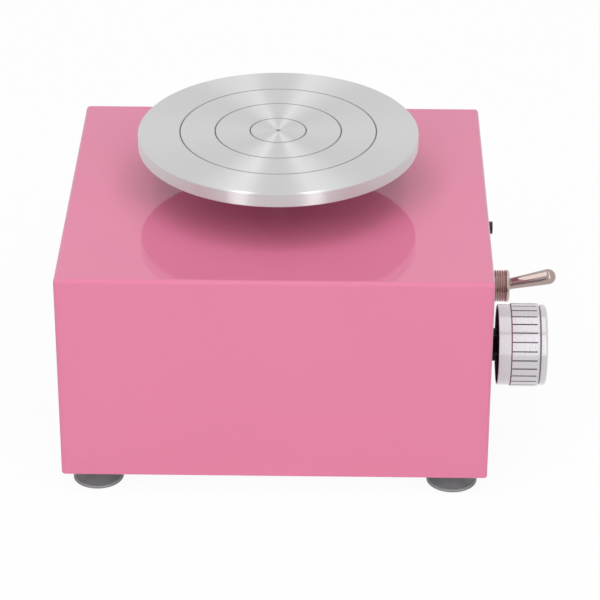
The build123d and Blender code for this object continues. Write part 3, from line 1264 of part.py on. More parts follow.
def build():
    """Makes every piece in its place."""
    knob_row = on_panel(KNOB_Y)
    toggle_row = on_panel(TOGGLE_Y)
    jack_row = on_panel(JACK_Y)
    parts["case_shell"] = case_shell()
    parts["base_tabs"] = base_tabs()
    parts["base_plate"] = base_plate()
    parts["base_screws"] = base_screws()
    for name, (sx, sy) in FEET.items():
        parts[name] = Pos(sx * FOOT_X, sy * FOOT_Y, 0) * suction_foot()
    parts["foot_studs"] = foot_studs()
    parts["foot_nuts"] = foot_nuts()
    parts["wheel_head"] = wheel_head()
    parts["wheel_hub"] = wheel_hub()
    parts["hub_set_screw"] = hub_set_screw()
    parts["motor_shaft"] = motor_shaft()
    parts["motor_can"] = motor_can()
    parts["motor_screws"] = motor_screws()
    parts["motor_magnets"] = motor_magnets()
    parts["rotor_core"] = rotor_core()
    parts["rotor_windings"] = rotor_windings()
    parts["commutator"] = commutator()
    parts["motor_brushes"] = motor_brushes()
    parts["brush_holders"] = brush_holders()
    parts["motor_terminals"] = motor_terminals()
    parts["motor_end_cap"] = motor_end_cap()
    parts["rear_bush"] = rear_bush()
    inner_race = SHAFT_RADIUS + RACE_WALL
    outer_race = BEARING_DIAMETER / 2 - RACE_WALL
    parts["bearing_inner_ring"] = bearing_ring(SHAFT_RADIUS + SEAT_CLEARANCE, inner_race)
    parts["bearing_outer_ring"] = bearing_ring(outer_race, BEARING_DIAMETER / 2)
    parts["bearing_balls"] = bearing_balls()
    parts["bearing_cage"] = bearing_cage()
    parts["knob_body"] = knob_row * knob_body()
    parts["knob_core"] = knob_row * knob_core()
    parts["knob_set_screw"] = knob_row * knob_set_screw()
    parts["pot_shaft"] = knob_row * pot_shaft()
    parts["pot_wiper"] = knob_row * pot_wiper()
    parts["pot_bushing"] = knob_row * pot_bushing()
    parts["pot_cover"] = knob_row * pot_cover()
    parts["pot_track"] = knob_row * pot_track()
    parts["pot_lugs"] = [knob_row * lug for lug in pot_lugs()]
    parts["pot_nut"] = knob_row * pot_nut()
    pot_hole = POT_BUSHING_DIAMETER + 2 * THREAD_CLEARANCE
    parts["pot_washer"] = knob_row * flat_washer(POT_WASHER_DIAMETER, pot_hole, 0, POT_WASHER_HEIGHT)
    parts["toggle_bushing"] = toggle_row * toggle_bushing()
    parts["toggle_housing"] = toggle_row * toggle_housing()
    parts["toggle_contacts"] = [toggle_row * contact for contact in toggle_contacts()]
    parts["toggle_rocker"] = toggle_row * toggle_rocker()
    parts["toggle_lever"] = toggle_row * toggle_lever()
    parts["toggle_plunger"] = toggle_row * toggle_plunger()
    parts["toggle_nuts"] = [toggle_row * nut for nut in toggle_nuts()]
    parts["jack_barrel"] = jack_row * jack_barrel()
    parts["jack_terminals"] = [jack_row * jack_pin(), jack_row * jack_lug()]
    parts["jack_nut"] = jack_row * jack_nut()
    parts["circuit_board"] = circuit_board()
    parts["board_standoffs"] = board_standoffs()
    parts["board_screws"] = board_screws()
    parts["terminal_block"] = terminal_block()
    parts["capacitor"] = capacitor()
    parts["heat_sink"] = heat_sink()
    parts["power_transistor"] = power_transistor()
    parts["pot_wires"] = pot_wires()
    parts["power_wires"] = power_wires()
    parts["motor_wires"] = motor_wires()


def save():
    """Writes one file for each named piece."""
    os.makedirs("parts", exist_ok=True)
    for name, shape in parts.items():
        pieces = shape if isinstance(shape, list) else [shape]
        solids = [solid for piece in pieces for solid in piece.solids()]
        export_step(Compound(children=solids), f"parts/{name}.step")


build()
save()
print(len(parts), "pieces written")
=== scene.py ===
import json
import math

import bmesh
import bpy
from mathutils import Matrix, Vector


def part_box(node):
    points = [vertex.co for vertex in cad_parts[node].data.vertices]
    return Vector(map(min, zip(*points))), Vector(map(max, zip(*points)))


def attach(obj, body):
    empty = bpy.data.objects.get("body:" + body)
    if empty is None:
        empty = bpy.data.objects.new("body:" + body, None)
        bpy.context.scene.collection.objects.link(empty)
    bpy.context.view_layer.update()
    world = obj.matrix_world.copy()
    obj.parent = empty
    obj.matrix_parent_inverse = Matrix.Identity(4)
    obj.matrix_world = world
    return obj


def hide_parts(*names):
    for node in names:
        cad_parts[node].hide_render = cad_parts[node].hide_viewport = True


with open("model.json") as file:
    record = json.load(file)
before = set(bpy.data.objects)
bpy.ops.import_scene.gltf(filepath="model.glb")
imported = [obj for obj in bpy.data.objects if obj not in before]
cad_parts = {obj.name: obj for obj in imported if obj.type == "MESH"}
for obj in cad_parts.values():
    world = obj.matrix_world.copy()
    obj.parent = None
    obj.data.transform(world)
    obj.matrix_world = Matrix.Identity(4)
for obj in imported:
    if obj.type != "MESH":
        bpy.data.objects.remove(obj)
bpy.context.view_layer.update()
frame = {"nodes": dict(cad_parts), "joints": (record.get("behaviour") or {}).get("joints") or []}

bl_info = {
    "name": "Bench pottery wheel",
    "version": (1, 0, 0),
    "blender": (4, 5, 0),
    "location": "3D View > Sidebar > Pottery Wheel",
    "description": "Models and finishes a small electric pottery wheel round its solid frame",
    "category": "Object",
}

MM = 0.001

# Places that the solid frame gives, in metres
WHEEL_LOW, WHEEL_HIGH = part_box("wheel_head")
FOOT_LOW, FOOT_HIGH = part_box("foot_front_left")
KNOB_LOW, KNOB_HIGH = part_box("knob_body")
JOINTS = {joint["name"]: joint for joint in frame["joints"]}
LEVER_PIVOT = Vector(JOINTS["switch_throw"]["pos_m"])
KNOB_CENTRE = Vector(JOINTS["speed_turn"]["pos_m"])
KNOB_SCREW_LOW, KNOB_SCREW_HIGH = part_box("knob_set_screw")
FEET = ("foot_front_left", "foot_front_right", "foot_rear_left", "foot_rear_right")

# Points closer than MERGE are one, and edges that turn by more than SHARP stay crisp
MERGE = 0.001 * MM
SHARP = math.radians(28)

# Steps round each turned piece, pin and hole
WHEEL_STEPS = 256
FOOT_STEPS = 96
LEVER_STEPS = 64
PIN_STEPS = 24
HOLE_STEPS = 32

# Strips of faces to each flute of the knob, an odd number, and how far in a flute's walls lean
FLUTE_STRIPS = 7
FLUTE_LEAN = 0.02 * MM

# Most values of a grain, and of the marks of a lathe tool, lie between these two
GRAIN_BAND = (0.3, 0.7)
MARKS_BAND = (0.25, 0.75)

# Sizes and places of the stage, in metres, its white, and the width of the camera's sensor
WHITE = (1.0, 1.0, 1.0, 1.0)
FLOOR_REACH = 4.0
STRIP_SIZE = (0.2, 0.9)
STRIP_Y = -0.02
STRIP_HEIGHT = 1.0
SIDE_SIZE = (0.3, 1.9)
SIDE_HEIGHT = 0.96
SENSOR_MM = 36.0


def linear(hex_colour):
    """An sRGB hex colour as linear red, green, blue and full alpha."""
    parts = [int(hex_colour[i:i + 2], 16) / 255 for i in (1, 3, 5)]
    return (*(c / 12.92 if c <= 0.04045 else ((c + 0.055) / 1.055) ** 2.4 for c in parts), 1.0)


def shaded(tone, share):
    """A linear colour made lighter or darker by a share, with its alpha kept."""
    return (*(min(1.0, channel * share) for channel in tone[:3]), 1.0)


def length(name, description, default):
    """A size property, in metres."""
    return bpy.props.FloatProperty(name=name, description=description, default=default, unit="LENGTH")


def angle(name, description, degrees):
    """An angle property, written in degrees."""
    return bpy.props.FloatProperty(name=name, description=description, default=math.radians(degrees),
                                   unit="ROTATION")


def level(name, description, default):
    """A plain number property that isn't below zero."""
    return bpy.props.FloatProperty(name=name, description=description, default=default, min=0.0)


def colour(name, description, hex_colour):
    """A colour property, written as an sRGB hex value."""
    return bpy.props.FloatVectorProperty(name=name, description=description, default=linear(hex_colour),
                                         subtype="COLOR", size=4, min=0.0, max=1.0)


class PotteryWheelSizes(bpy.types.PropertyGroup):
    """Sizes of the pieces that are modelled here."""

    wheel_diameter: length("Wheel diameter", "Across the wheel head", WHEEL_HIGH.x - WHEEL_LOW.x)
    wheel_top_chamfer: length("Top chamfer", "Broken edge round the top of the wheel head", 0.5 * MM)
    wheel_under_chamfer: length("Lower chamfer", "Broken edge round the wheel head's underside", 0.3 * MM)
    ring_width: length("Ring groove width", "Across each centring groove", 0.55 * MM)
    ring_depth: length("Ring groove depth", "Depth of each centring groove", 0.3 * MM)
    ring_inner: length("Inner ring", "Diameter of the smallest centring groove", 20.0 * MM)
    ring_middle: length("Middle ring", "Diameter of the middle centring groove", 45.0 * MM)
    ring_outer: length("Outer ring", "Diameter of the largest centring groove", 70.0 * MM)
    centre_mark: length("Centre mark", "Diameter of the drilled centre mark", 1.8 * MM)
    hub_socket: length("Hub socket", "Diameter of the socket under the wheel head", 7.04 * MM)
    hub_socket_depth: length("Hub socket depth", "Depth of the socket under the wheel head", 2.8 * MM)
    knob_collar: length("Knob collar", "Length of the knob's smooth collar", 4.6 * MM)
    knob_collar_width: length("Knob collar width", "Diameter of the knob's collar", 28.4 * MM)
    knob_grip: length("Knob grip", "Length of the knob's fluted grip", 9.7 * MM)
    knob_nose_width: length("Knob nose width", "Diameter of the knob's nose", 28.4 * MM)
    knob_nose_round: length("Knob nose round", "Radius of the nose's front edge", 1.1 * MM)
    knob_edge: length("Knob edges", "Broken edges of the knob's collar and grip", 0.15 * MM)
    knob_groove: length("Knob groove", "Width and depth of the groove behind the nose", 0.5 * MM)
    knob_line: length("Knob line", "Width and depth of the line between collar and grip", 0.25 * MM)
    knob_back: length("Knob back", "Diameter of the black cover in the knob's back", 27.6 * MM)
    knob_back_depth: length("Knob back depth", "Depth of the seat of the black cover", 1.6 * MM)
    knob_core: length("Knob core", "Diameter of the hollow in the knob", 25.0 * MM)
    knob_core_depth: length("Knob core depth", "Depth of the hollow in the knob", 12.2 * MM)
    knob_screw_hole: length("Set screw hole", "Diameter of the hole for the knob's set screw", 3.1 * MM)
    flute_depth: length("Flute depth", "Depth of each flute in the knob's grip", 0.45 * MM)
    flute_shy: length("Flute end", "How far each flute stops short of the nose", 0.8 * MM)
    flutes: bpy.props.IntProperty(name="Flutes", description="How many flutes the grip has",
                                  default=28, min=3)
    lever_reach: length("Lever reach", "From the lever's pivot to the end of its bat", 21.08 * MM)
    lever_root: length("Lever root", "Diameter of the lever at its pivot", 4.0 * MM)
    lever_tip: length("Lever tip", "Diameter of the bat's round end", 5.7 * MM)
    lever_ball: length("Lever ball", "Diameter of the lever's pivot ball", 8.8 * MM)
    lever_tail: length("Lever tail", "Length of the lever behind its pivot", 14.0 * MM)
    lever_tail_width: length("Lever tail width", "Diameter of the lever's tail", 3.0 * MM)
    lever_pin: length("Lever pin", "Diameter of the cross pin that the lever swings on", 2.0 * MM)
    lever_pin_span: length("Lever pin span", "Length of the lever's cross pin", 10.0 * MM)
    lever_tilt: angle("Lever tilt", "How far the lever points up at rest", 12.7)
    foot_lip: length("Foot lip", "Height of the foot's upright lip", 0.9 * MM)
    foot_bead: length("Foot bead", "Radius of the round edge on the foot's lip", 0.7 * MM)
    foot_flare: level("Foot flare", "Curve of the foot's cup: 1 is round, 2 straight and 3 hollow", 2.6)
    foot_dome: length("Foot dome", "Height of the foot's dome", 5.2 * MM)
    foot_neck: length("Foot neck", "Diameter of the foot's neck", 9.0 * MM)
    foot_hollow: length("Foot hollow", "Height of the hollow under the foot", 2.4 * MM)
    foot_rest: length("Foot rest", "Width of the ring that the foot stands on", 1.3 * MM)


class PotteryWheelColours(bpy.types.PropertyGroup):
    """Colours of the finishes."""

    enamel: colour("Enamel", "Gloss paint of the case", "#E07D9F")
    wheel: colour("Wheel head", "Turned aluminium of the wheel head", "#D6D6D6")
    # The ring colour is darker than the wheel's: painted shade for the bottoms of the grooves and the centre
    # mark.
    ring: colour("Ring grooves", "Rough aluminium at the bottom of the centring grooves", "#98989A")
    underside: colour("Wheel underside", "Rough-turned aluminium under the wheel head", "#D2D1D2")
    knob: colour("Knob", "Satin aluminium of the speed knob", "#D4D0D5")
    # The flute colour is much darker than the knob's: painted shade for the flutes, the line and the groove.
    flute: colour("Knob flutes", "Milled aluminium in the knob's flutes and grooves", "#7C7880")
    nickel: colour("Nickel", "Plating of the switch", "#A99894")
    oxide: colour("Black oxide", "Blackened steel of the speed control's nut", "#1C1B1E")
    foot: colour("Feet", "Smoky plastic of the feet", "#7E7D7F")
    black: colour("Black plastic", "Moulded black pieces", "#17161A")
    floor: colour("Floor", "Pale floor under the wheel", "#F7F7F7")


class PotteryWheelStage(bpy.types.PropertyGroup):
    """Camera, lamps and floor."""

    camera_place: bpy.props.FloatVectorProperty(name="Camera place", description="Where the camera stands",
                                                default=(0.02003, -0.87683, 0.5295), subtype="TRANSLATION")
    camera_yaw: angle("Camera turn", "Turn to the right of straight ahead", -0.79)
    camera_pitch: angle("Camera tilt", "Tilt down from level", 29.16)
    camera_roll: angle("Camera roll", "Roll about the line of sight", 0.173)
    camera_lens: level("Focal length", "Of the camera, in millimetres", 163.37)
    room_level: level("Room level", "Light from all round on matt surfaces", 0.23)
    floor_glow: level("Floor glow", "Share of the floor that is plain white, the rest takes the shadow", 0.94)
    fill_power: level("Fill lamp", "Power of the wide lamp over the camera, in watts", 13.0)
    fill_tilt: angle("Fill lamp's tilt", "Of the wide lamp from overhead towards the camera", 28)
    fill_size: length("Fill lamp's size", "Across the wide lamp over the camera", 1.4)
    rear_power: level("Rear lamp", "Power of the wide lamp behind, in watts", 8.5)
    rear_tilt: angle("Rear lamp's tilt", "Of the wide lamp behind from overhead", -84)
    rear_size: length("Rear lamp's size", "Across the wide lamp behind", 0.9)
    fill_distance: length("Wide lamps' distance", "From the wheel to each wide lamp", 1.36)
    strip_power: level("Overhead strips", "Power of each long lamp overhead, in watts", 0.62)
    strip_offset: length("Strip offset", "From the middle to each long lamp overhead", 0.285)
    side_power: level("Side lamps", "Power of each lamp beside the camera, in watts", 3.4)
    side_angle: angle("Side lamps' angle", "Of each lamp from straight ahead", 29.5)
    side_distance: length("Side lamps' distance", "From the wheel's axis to each lamp beside the camera", 1.3)


# Meshes
def closed(bm):
    """Merges the points that meet and turns every face outwards."""
    bmesh.ops.remove_doubles(bm, verts=bm.verts, dist=MERGE)
    bmesh.ops.recalc_face_normals(bm, faces=bm.faces)


def turned(profile, origin, axis, steps):
    """A lathe-turned shape: (along, radius) points spun once round an axis through the origin."""
    bm = bmesh.new()
    axis = Vector(axis)
    origin = Vector(origin)
    side = axis.orthogonal().normalized()
    verts = [bm.verts.new(origin + axis * along + side * radius) for along, radius in profile]
    edges = [bm.edges.new(pair) for pair in zip(verts, verts[1:])]
    bmesh.ops.spin(bm, geom=verts + edges, cent=origin, axis=axis, dvec=(0, 0, 0), angle=2 * math.pi,
                   steps=steps, use_merge=True)
    closed(bm)
    return bm


def arc(along, radius, size, start, end, count):
    """Points of a round corner about (along, radius), from one angle to another, in degrees."""
    turn = [math.radians(start + (end - start) * i / count) for i in range(count + 1)]
    return [(along + size * math.sin(a), radius + size * math.cos(a)) for a in turn]


def drilled(bm, start, end, radius):
    """The same shape with a round hole bored from one place to another."""
    run = end - start
    drill = bmesh.new()
    aim = Matrix.Translation((start + end) / 2) @ run.to_track_quat("Z", "Y").to_matrix().to_4x4()
    bmesh.ops.create_cone(drill, cap_ends=True, segments=HOLE_STEPS, radius1=radius, radius2=radius,
                          depth=run.length, matrix=aim)
    objects = []
    for shape in (bm, drill):
        closed(shape)
        mesh = bpy.data.meshes.new("blank")
        shape.to_mesh(mesh)
        shape.free()
        objects.append(bpy.data.objects.new("blank", mesh))
        bpy.context.scene.collection.objects.link(objects[-1])
    cut = objects[0].modifiers.new("Hole", "BOOLEAN")
    cut.object = objects[1]
    bored = bmesh.new()
    bored.from_object(objects[0], bpy.context.evaluated_depsgraph_get())
    for spent in objects:
        bpy.data.meshes.remove(spent.data)
    return bored


def piece(bm, name, finishes, body, slot, *nodes):
    """Makes a finished object of a bmesh: merged, facing outwards, smooth, and riding on its body."""
    closed(bm)
    mesh = bpy.data.meshes.new(name)
    bm.to_mesh(mesh)
    bm.free()
    mesh.shade_smooth()
    mesh.set_sharp_from_angle(angle=SHARP)
    for finish in finishes:
        mesh.materials.append(finish)
    made = bpy.data.objects.new(name, mesh)
    bpy.context.scene.collection.objects.link(made)
    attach(made, body)
    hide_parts(*nodes)


def dress(material, *nodes):
    """Gives solid pieces of the frame a finish."""
    for name in nodes:
        for slot in frame["nodes"][name].material_slots:
            slot.material = material


# Finishes
def add_node(tree, kind, inputs=None, **settings):
    """Adds a node to a tree, with its settings, and sets or links its inputs."""
    node = tree.nodes.new(kind)
    for name, value in settings.items():
        setattr(node, name, value)
    for socket, value in (inputs or {}).items():
        if isinstance(value, bpy.types.NodeSocket):
            tree.links.new(value, node.inputs[socket])
        else:
            node.inputs[socket].default_value = value
    return node


def new_finish(name):
    """An empty material with its node tree and its Object coordinates."""
    material = bpy.data.materials.new(name)
    material.use_nodes = True
    tree = material.node_tree
    tree.nodes.clear()
    place = add_node(tree, "ShaderNodeTexCoord").outputs["Object"]
    return material, tree, place


def close_finish(tree, sockets):
    """Ends a material with its surface shader."""
    shader = add_node(tree, "ShaderNodeBsdfPrincipled", sockets)
    add_node(tree, "ShaderNodeOutputMaterial", {"Surface": shader.outputs["BSDF"]})


def gloss_enamel(paint):
    """Stoved gloss enamel on steel sheet: a clear mirror over the colour, with a faint orange peel."""
    material, tree, place = new_finish("Gloss enamel on steel")
    # The sprayed coat is a little thicker in patches some 40 mm across, which moves its colour slightly.
    patch = add_node(tree, "ShaderNodeTexNoise", {"Vector": place, "Scale": 1 / (40 * MM), "Detail": 2.0})
    tone = add_node(tree, "ShaderNodeValToRGB", {"Fac": patch.outputs["Fac"]})
    tone.color_ramp.elements[0].color = shaded(paint, 0.98)
    tone.color_ramp.elements[1].color = shaded(paint, 1.02)
    # Orange peel: waves about 3 mm long and a few thousandths of a millimetre high.
    peel = add_node(tree, "ShaderNodeTexNoise", {"Vector": place, "Scale": 1 / (3 * MM), "Detail": 1.0})
    skin = add_node(tree, "ShaderNodeBump", {"Height": peel.outputs["Fac"], "Strength": 1.0,
                                             "Distance": 0.004 * MM})
    close_finish(tree, {"Base Color": tone.outputs["Color"], "Roughness": 0.06, "IOR": 1.5,
                        "Normal": skin.outputs["Normal"]})
    return material


def patterned(tree, pattern, shade, tones, band, roughness, swing, depth_mm):
    """Sockets whose colour, polish and skin follow a pattern, from one end of a band to the other."""
    tone = add_node(tree, "ShaderNodeValToRGB", {"Fac": pattern})
    for end, place, share in zip(tone.color_ramp.elements, band, tones):
        end.position = place
        end.color = shaded(shade, share)
    polish = add_node(tree, "ShaderNodeMapRange", {"Value": pattern, "From Min": band[0], "From Max": band[1],
                                                   "To Min": roughness * (1 - swing),
                                                   "To Max": roughness * (1 + swing)})
    skin = add_node(tree, "ShaderNodeBump", {"Height": pattern, "Strength": 1.0, "Distance": depth_mm * MM})
    return {"Base Color": tone.outputs["Color"], "Roughness": polish.outputs["Result"],
            "Normal": skin.outputs["Normal"]}


def turned_aluminium(name, metal, axis, roughness, streak, line_mm, depth_mm, centre=(0.0, 0.0, 0.0)):
    """Aluminium from the lathe: fine rings that draw each highlight out across them."""
    material, tree, place = new_finish(name)
    centred = add_node(tree, "ShaderNodeMapping", {"Vector": place, "Location": [-c for c in centre]})
    place = centred.outputs["Vector"]
    flat = {"X": (0.0, 1.0, 1.0), "Z": (1.0, 1.0, 0.0)}[axis]
    spoke = add_node(tree, "ShaderNodeVectorMath", {0: place, 1: flat}, operation="MULTIPLY")
    radius = add_node(tree, "ShaderNodeVectorMath", {0: spoke.outputs["Vector"]}, operation="LENGTH")
    along = add_node(tree, "ShaderNodeSeparateXYZ", {"Vector": place}).outputs[axis]
    # Tool marks follow the radius on a face and the length on a rim.
    cut = add_node(tree, "ShaderNodeMath", {0: radius.outputs["Value"], 1: along}, operation="ADD")
    marks = add_node(tree, "ShaderNodeTexNoise", {"W": cut.outputs["Value"], "Scale": 1 / (line_mm * MM),
                                                  "Detail": 3.0, "Roughness": 0.7}, noise_dimensions="1D")
    sockets = patterned(tree, marks.outputs["Fac"], metal, tones=(0.94, 1.04), band=MARKS_BAND,
                        roughness=roughness, swing=0.15, depth_mm=depth_mm)
    round_axis = add_node(tree, "ShaderNodeTangent", direction_type="RADIAL", axis=axis)
    close_finish(tree, {**sockets, "Metallic": 1.0, "Anisotropic": streak, "Anisotropic Rotation": 0.25,
                        "Tangent": round_axis.outputs["Tangent"]})
    return material


def metal_finish(name, metal, roughness, grain_mm, stretch=(1.0, 1.0, 1.0), depth_mm=0.002, spread=0.08):
    """A metal whose grain varies its tone, polish and skin; stretch draws the grain out along an axis."""
    material, tree, place = new_finish(name)
    drawn = add_node(tree, "ShaderNodeMapping", {"Vector": place, "Scale": stretch})
    grain = add_node(tree, "ShaderNodeTexNoise", {"Vector": drawn.outputs["Vector"],
                                                  "Scale": 1 / (grain_mm * MM), "Detail": 3.0})
    sockets = patterned(tree, grain.outputs["Fac"], metal, tones=(1 - spread, 1 + spread), band=GRAIN_BAND,
                        roughness=roughness, swing=0.2, depth_mm=depth_mm)
    close_finish(tree, {**sockets, "Metallic": 1.0})
    return material


def moulded_finish(name, shade, roughness, grain_mm, ior=1.5, depth_mm=0.01, spread=0.06):
    """A moulded or coated piece with a fine skin from its tool and a slightly uneven colour."""
    material, tree, place = new_finish(name)
    grain = add_node(tree, "ShaderNodeTexNoise", {"Vector": place, "Scale": 1 / (grain_mm * MM),
                                                  "Detail": 2.0})
    sockets = patterned(tree, grain.outputs["Fac"], shade, tones=(1 - spread, 1 + spread), band=GRAIN_BAND,
                        roughness=roughness, swing=0.15, depth_mm=depth_mm)
    close_finish(tree, {**sockets, "IOR": ior})
    return material


def black_plastic(context):
    """Black ABS, moulded: a fine matt skin that still keeps a soft highlight."""
    name = "Black ABS, moulded"
    made = bpy.data.materials.get(name)
    return made or moulded_finish(name, context.scene.pottery_colours.black, roughness=0.42, grain_mm=0.35)


def seen_ray(tree):
    """One for rays from the camera, a mirror or glass, and zero for light that falls on matt surfaces."""
    path = add_node(tree, "ShaderNodeLightPath").outputs
    seen = path["Is Camera Ray"]
    for kind in ("Is Glossy Ray", "Is Transmission Ray"):
        seen = add_node(tree, "ShaderNodeMath", {0: seen, 1: path[kind]}, operation="MAXIMUM").outputs[0]
    return seen


def stage_white(name, glow, matt):
    """A floor that looks white, and still takes the object's shadow."""
    material, tree, _ = new_finish(name)
    share = add_node(tree, "ShaderNodeMath", {0: seen_ray(tree), 1: glow}, operation="MULTIPLY")
    paper = add_node(tree, "ShaderNodeBsdfDiffuse", {"Color": matt})
    white = add_node(tree, "ShaderNodeEmission", {"Color": WHITE, "Strength": 1.0})
    both = add_node(tree, "ShaderNodeMixShader", {0: share.outputs[0], 1: paper.outputs[0],
                                                  2: white.outputs[0]})
    add_node(tree, "ShaderNodeOutputMaterial", {"Surface": both.outputs[0]})
    return material


# Pieces
class POTTERY_OT_case(bpy.types.Operator):
    """Finish the painted case, its base plate and the fasteners under it"""

    bl_idname = "pottery.case"
    bl_label = "Case"

    def execute(self, context):
        colours = context.scene.pottery_colours
        dress(gloss_enamel(colours.enamel), "case_shell")
        # Zinc plate: pale steel with a faint blue cast and a soft, uneven shine.
        zinc = metal_finish("Zinc plated steel", linear("#C6CACD"), roughness=0.3, grain_mm=0.8)
        dress(zinc, "base_tabs", "base_plate", "base_screws", "foot_studs", "foot_nuts", "motor_screws",
              "board_screws", "hub_set_screw", "pot_cover", "jack_nut")
        return {"FINISHED"}


class POTTERY_OT_wheel_head(bpy.types.Operator):
    """Turn the wheel head and its hub"""

    bl_idname = "pottery.wheel_head"
    bl_label = "Wheel head"

    def execute(self, context):
        sizes = context.scene.pottery_sizes
        colours = context.scene.pottery_colours
        rim = sizes.wheel_diameter / 2
        top = WHEEL_HIGH.z
        bottom = WHEEL_LOW.z
        mark = sizes.centre_mark / 2
        mark_depth = 0.8 * mark
        profile = [(top - mark_depth, 0.0), (top, mark)]
        rings = (sizes.ring_inner, sizes.ring_middle, sizes.ring_outer)
        for ring in rings:
            profile.append((top, (ring - sizes.ring_width) / 2))
            profile.append((top - sizes.ring_depth, ring / 2))
            profile.append((top, (ring + sizes.ring_width) / 2))
        profile += [
            (top, rim - sizes.wheel_top_chamfer),
            (top - sizes.wheel_top_chamfer, rim),
            (bottom + sizes.wheel_under_chamfer, rim),
            (bottom, rim - sizes.wheel_under_chamfer),
            (bottom, sizes.hub_socket / 2),
            (bottom + sizes.hub_socket_depth, sizes.hub_socket / 2),
            (bottom + sizes.hub_socket_depth, 0.0),
        ]
        # Facing marks are near 0.1 mm apart; drawn at 0.5 mm so that they show from a step away.
        face = turned_aluminium("Turned aluminium", colours.wheel, "Z", roughness=0.35, streak=1.0,
                                line_mm=0.5, depth_mm=0.003)
        # The tool's tip leaves a torn, dull bottom in each groove and in the centre mark, and that bottom is
        # coloured darker as painted shade, so that it reads as a dark line.
        torn_and_shaded = metal_finish("Aluminium, groove with painted shade", colours.ring, roughness=0.6, grain_mm=0.3)
        # The rim has a finishing cut, so that it mirrors the lamps with crisp ends.
        bright = turned_aluminium("Turned aluminium, rim", colours.wheel, "Z", roughness=0.36, streak=1.0,
                                  line_mm=0.4, depth_mm=0.001)
        # The underside is only roughed out: pale and dull, so that it throws the case's colour back.
        rough = turned_aluminium("Aluminium, rough-turned", colours.underside, "Z", roughness=0.5, streak=0.5,
                                 line_mm=0.8, depth_mm=0.01)
        finishes = (face, torn_and_shaded, rough, bright)
        bm = turned(profile, (0, 0, 0), (0, 0, 1), WHEEL_STEPS)
        for side in bm.faces:
            middle = side.calc_center_median()
            out = middle.xy.length
            finish = face
            if middle.z < bottom + sizes.wheel_under_chamfer / 4:
                finish = rough
            elif out > rim - sizes.wheel_top_chamfer:
                finish = bright
            # The centre mark and the groove bottoms take the darker colour, painted shade.
            elif out < mark or any(abs(2 * out - ring) < sizes.ring_width for ring in rings):
                finish = torn_and_shaded
            side.material_index = finishes.index(finish)
        piece(bm, "wheel_head_turned", finishes, "turntable", "wheel_aluminium", "wheel_head")
        # The hub has a smoother cut, and a softer streak up its side.
        hub = turned_aluminium("Turned aluminium, hub", colours.wheel, "Z", roughness=0.3, streak=0.6,
                               line_mm=0.4, depth_mm=0.002)
        dress(hub, "wheel_hub")
        return {"FINISHED"}


class POTTERY_OT_feet(bpy.types.Operator):
    """Mould the four suction feet"""

    bl_idname = "pottery.feet"
    bl_label = "Feet"

    def execute(self, context):
        sizes = context.scene.pottery_sizes
        lip = (FOOT_HIGH.x - FOOT_LOW.x) / 2
        neck = sizes.foot_neck / 2
        hollow = lip - sizes.foot_rest
        points = 12
        fullness = 0.8
        quarter = [math.radians(90 * i / points) for i in range(points + 1)]
        under = [(sizes.foot_hollow * math.cos(a), hollow * math.sin(a) ** fullness) for a in quarter]
        bead = sizes.foot_bead
        flare = sizes.foot_flare
        cup = [(sizes.foot_lip + (sizes.foot_dome - sizes.foot_lip) * math.sin(a) ** flare,
                neck + (lip - bead - neck) * math.cos(a) ** flare) for a in quarter]
        profile = [
            *under,
            *arc(bead / 2, lip - bead / 2, bead / 2, -90, 0, 4),
            *arc(sizes.foot_lip - bead, lip - bead, bead, 0, 90, 8),
            *cup,
            (FOOT_HIGH.z, neck),
            (FOOT_HIGH.z, 0.0),
        ]
        shade = context.scene.pottery_colours.foot
        skin = {"roughness": 0.16, "grain_mm": 3.0, "ior": 1.53, "depth_mm": 0.002, "spread": 0.03}
        # Smoky soft PVC from a polished mould: grey and smooth, with small wet-looking highlights.
        smoky = moulded_finish("Smoky PVC, moulded", shade, **skin)
        # Painted highlight: the shoulder of the lip takes a colour 1.8 times paler than the rest, a ring of
        # painted light for what the thin lip catches and lets through.
        painted_lip_light = moulded_finish("Smoky PVC, lip with painted light", shaded(shade, 1.8), **skin)
        shoulder_low = sizes.foot_lip - bead / 2
        shoulder_inner = lip - 1.2 * bead
        for name in FEET:
            low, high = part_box(name)
            place = Vector(((low.x + high.x) / 2, (low.y + high.y) / 2, 0.0))
            bm = turned(profile, place, (0, 0, 1), FOOT_STEPS)
            for side in bm.faces:
                middle = side.calc_center_median() - place
                # Faces on the shoulder of the lip take the paler colour, the painted light.
                side.material_index = int(middle.z > shoulder_low and middle.xy.length > shoulder_inner)
            piece(bm, name + "_moulded", (smoky, painted_lip_light), "base", "foot_pvc", name)
        return {"FINISHED"}


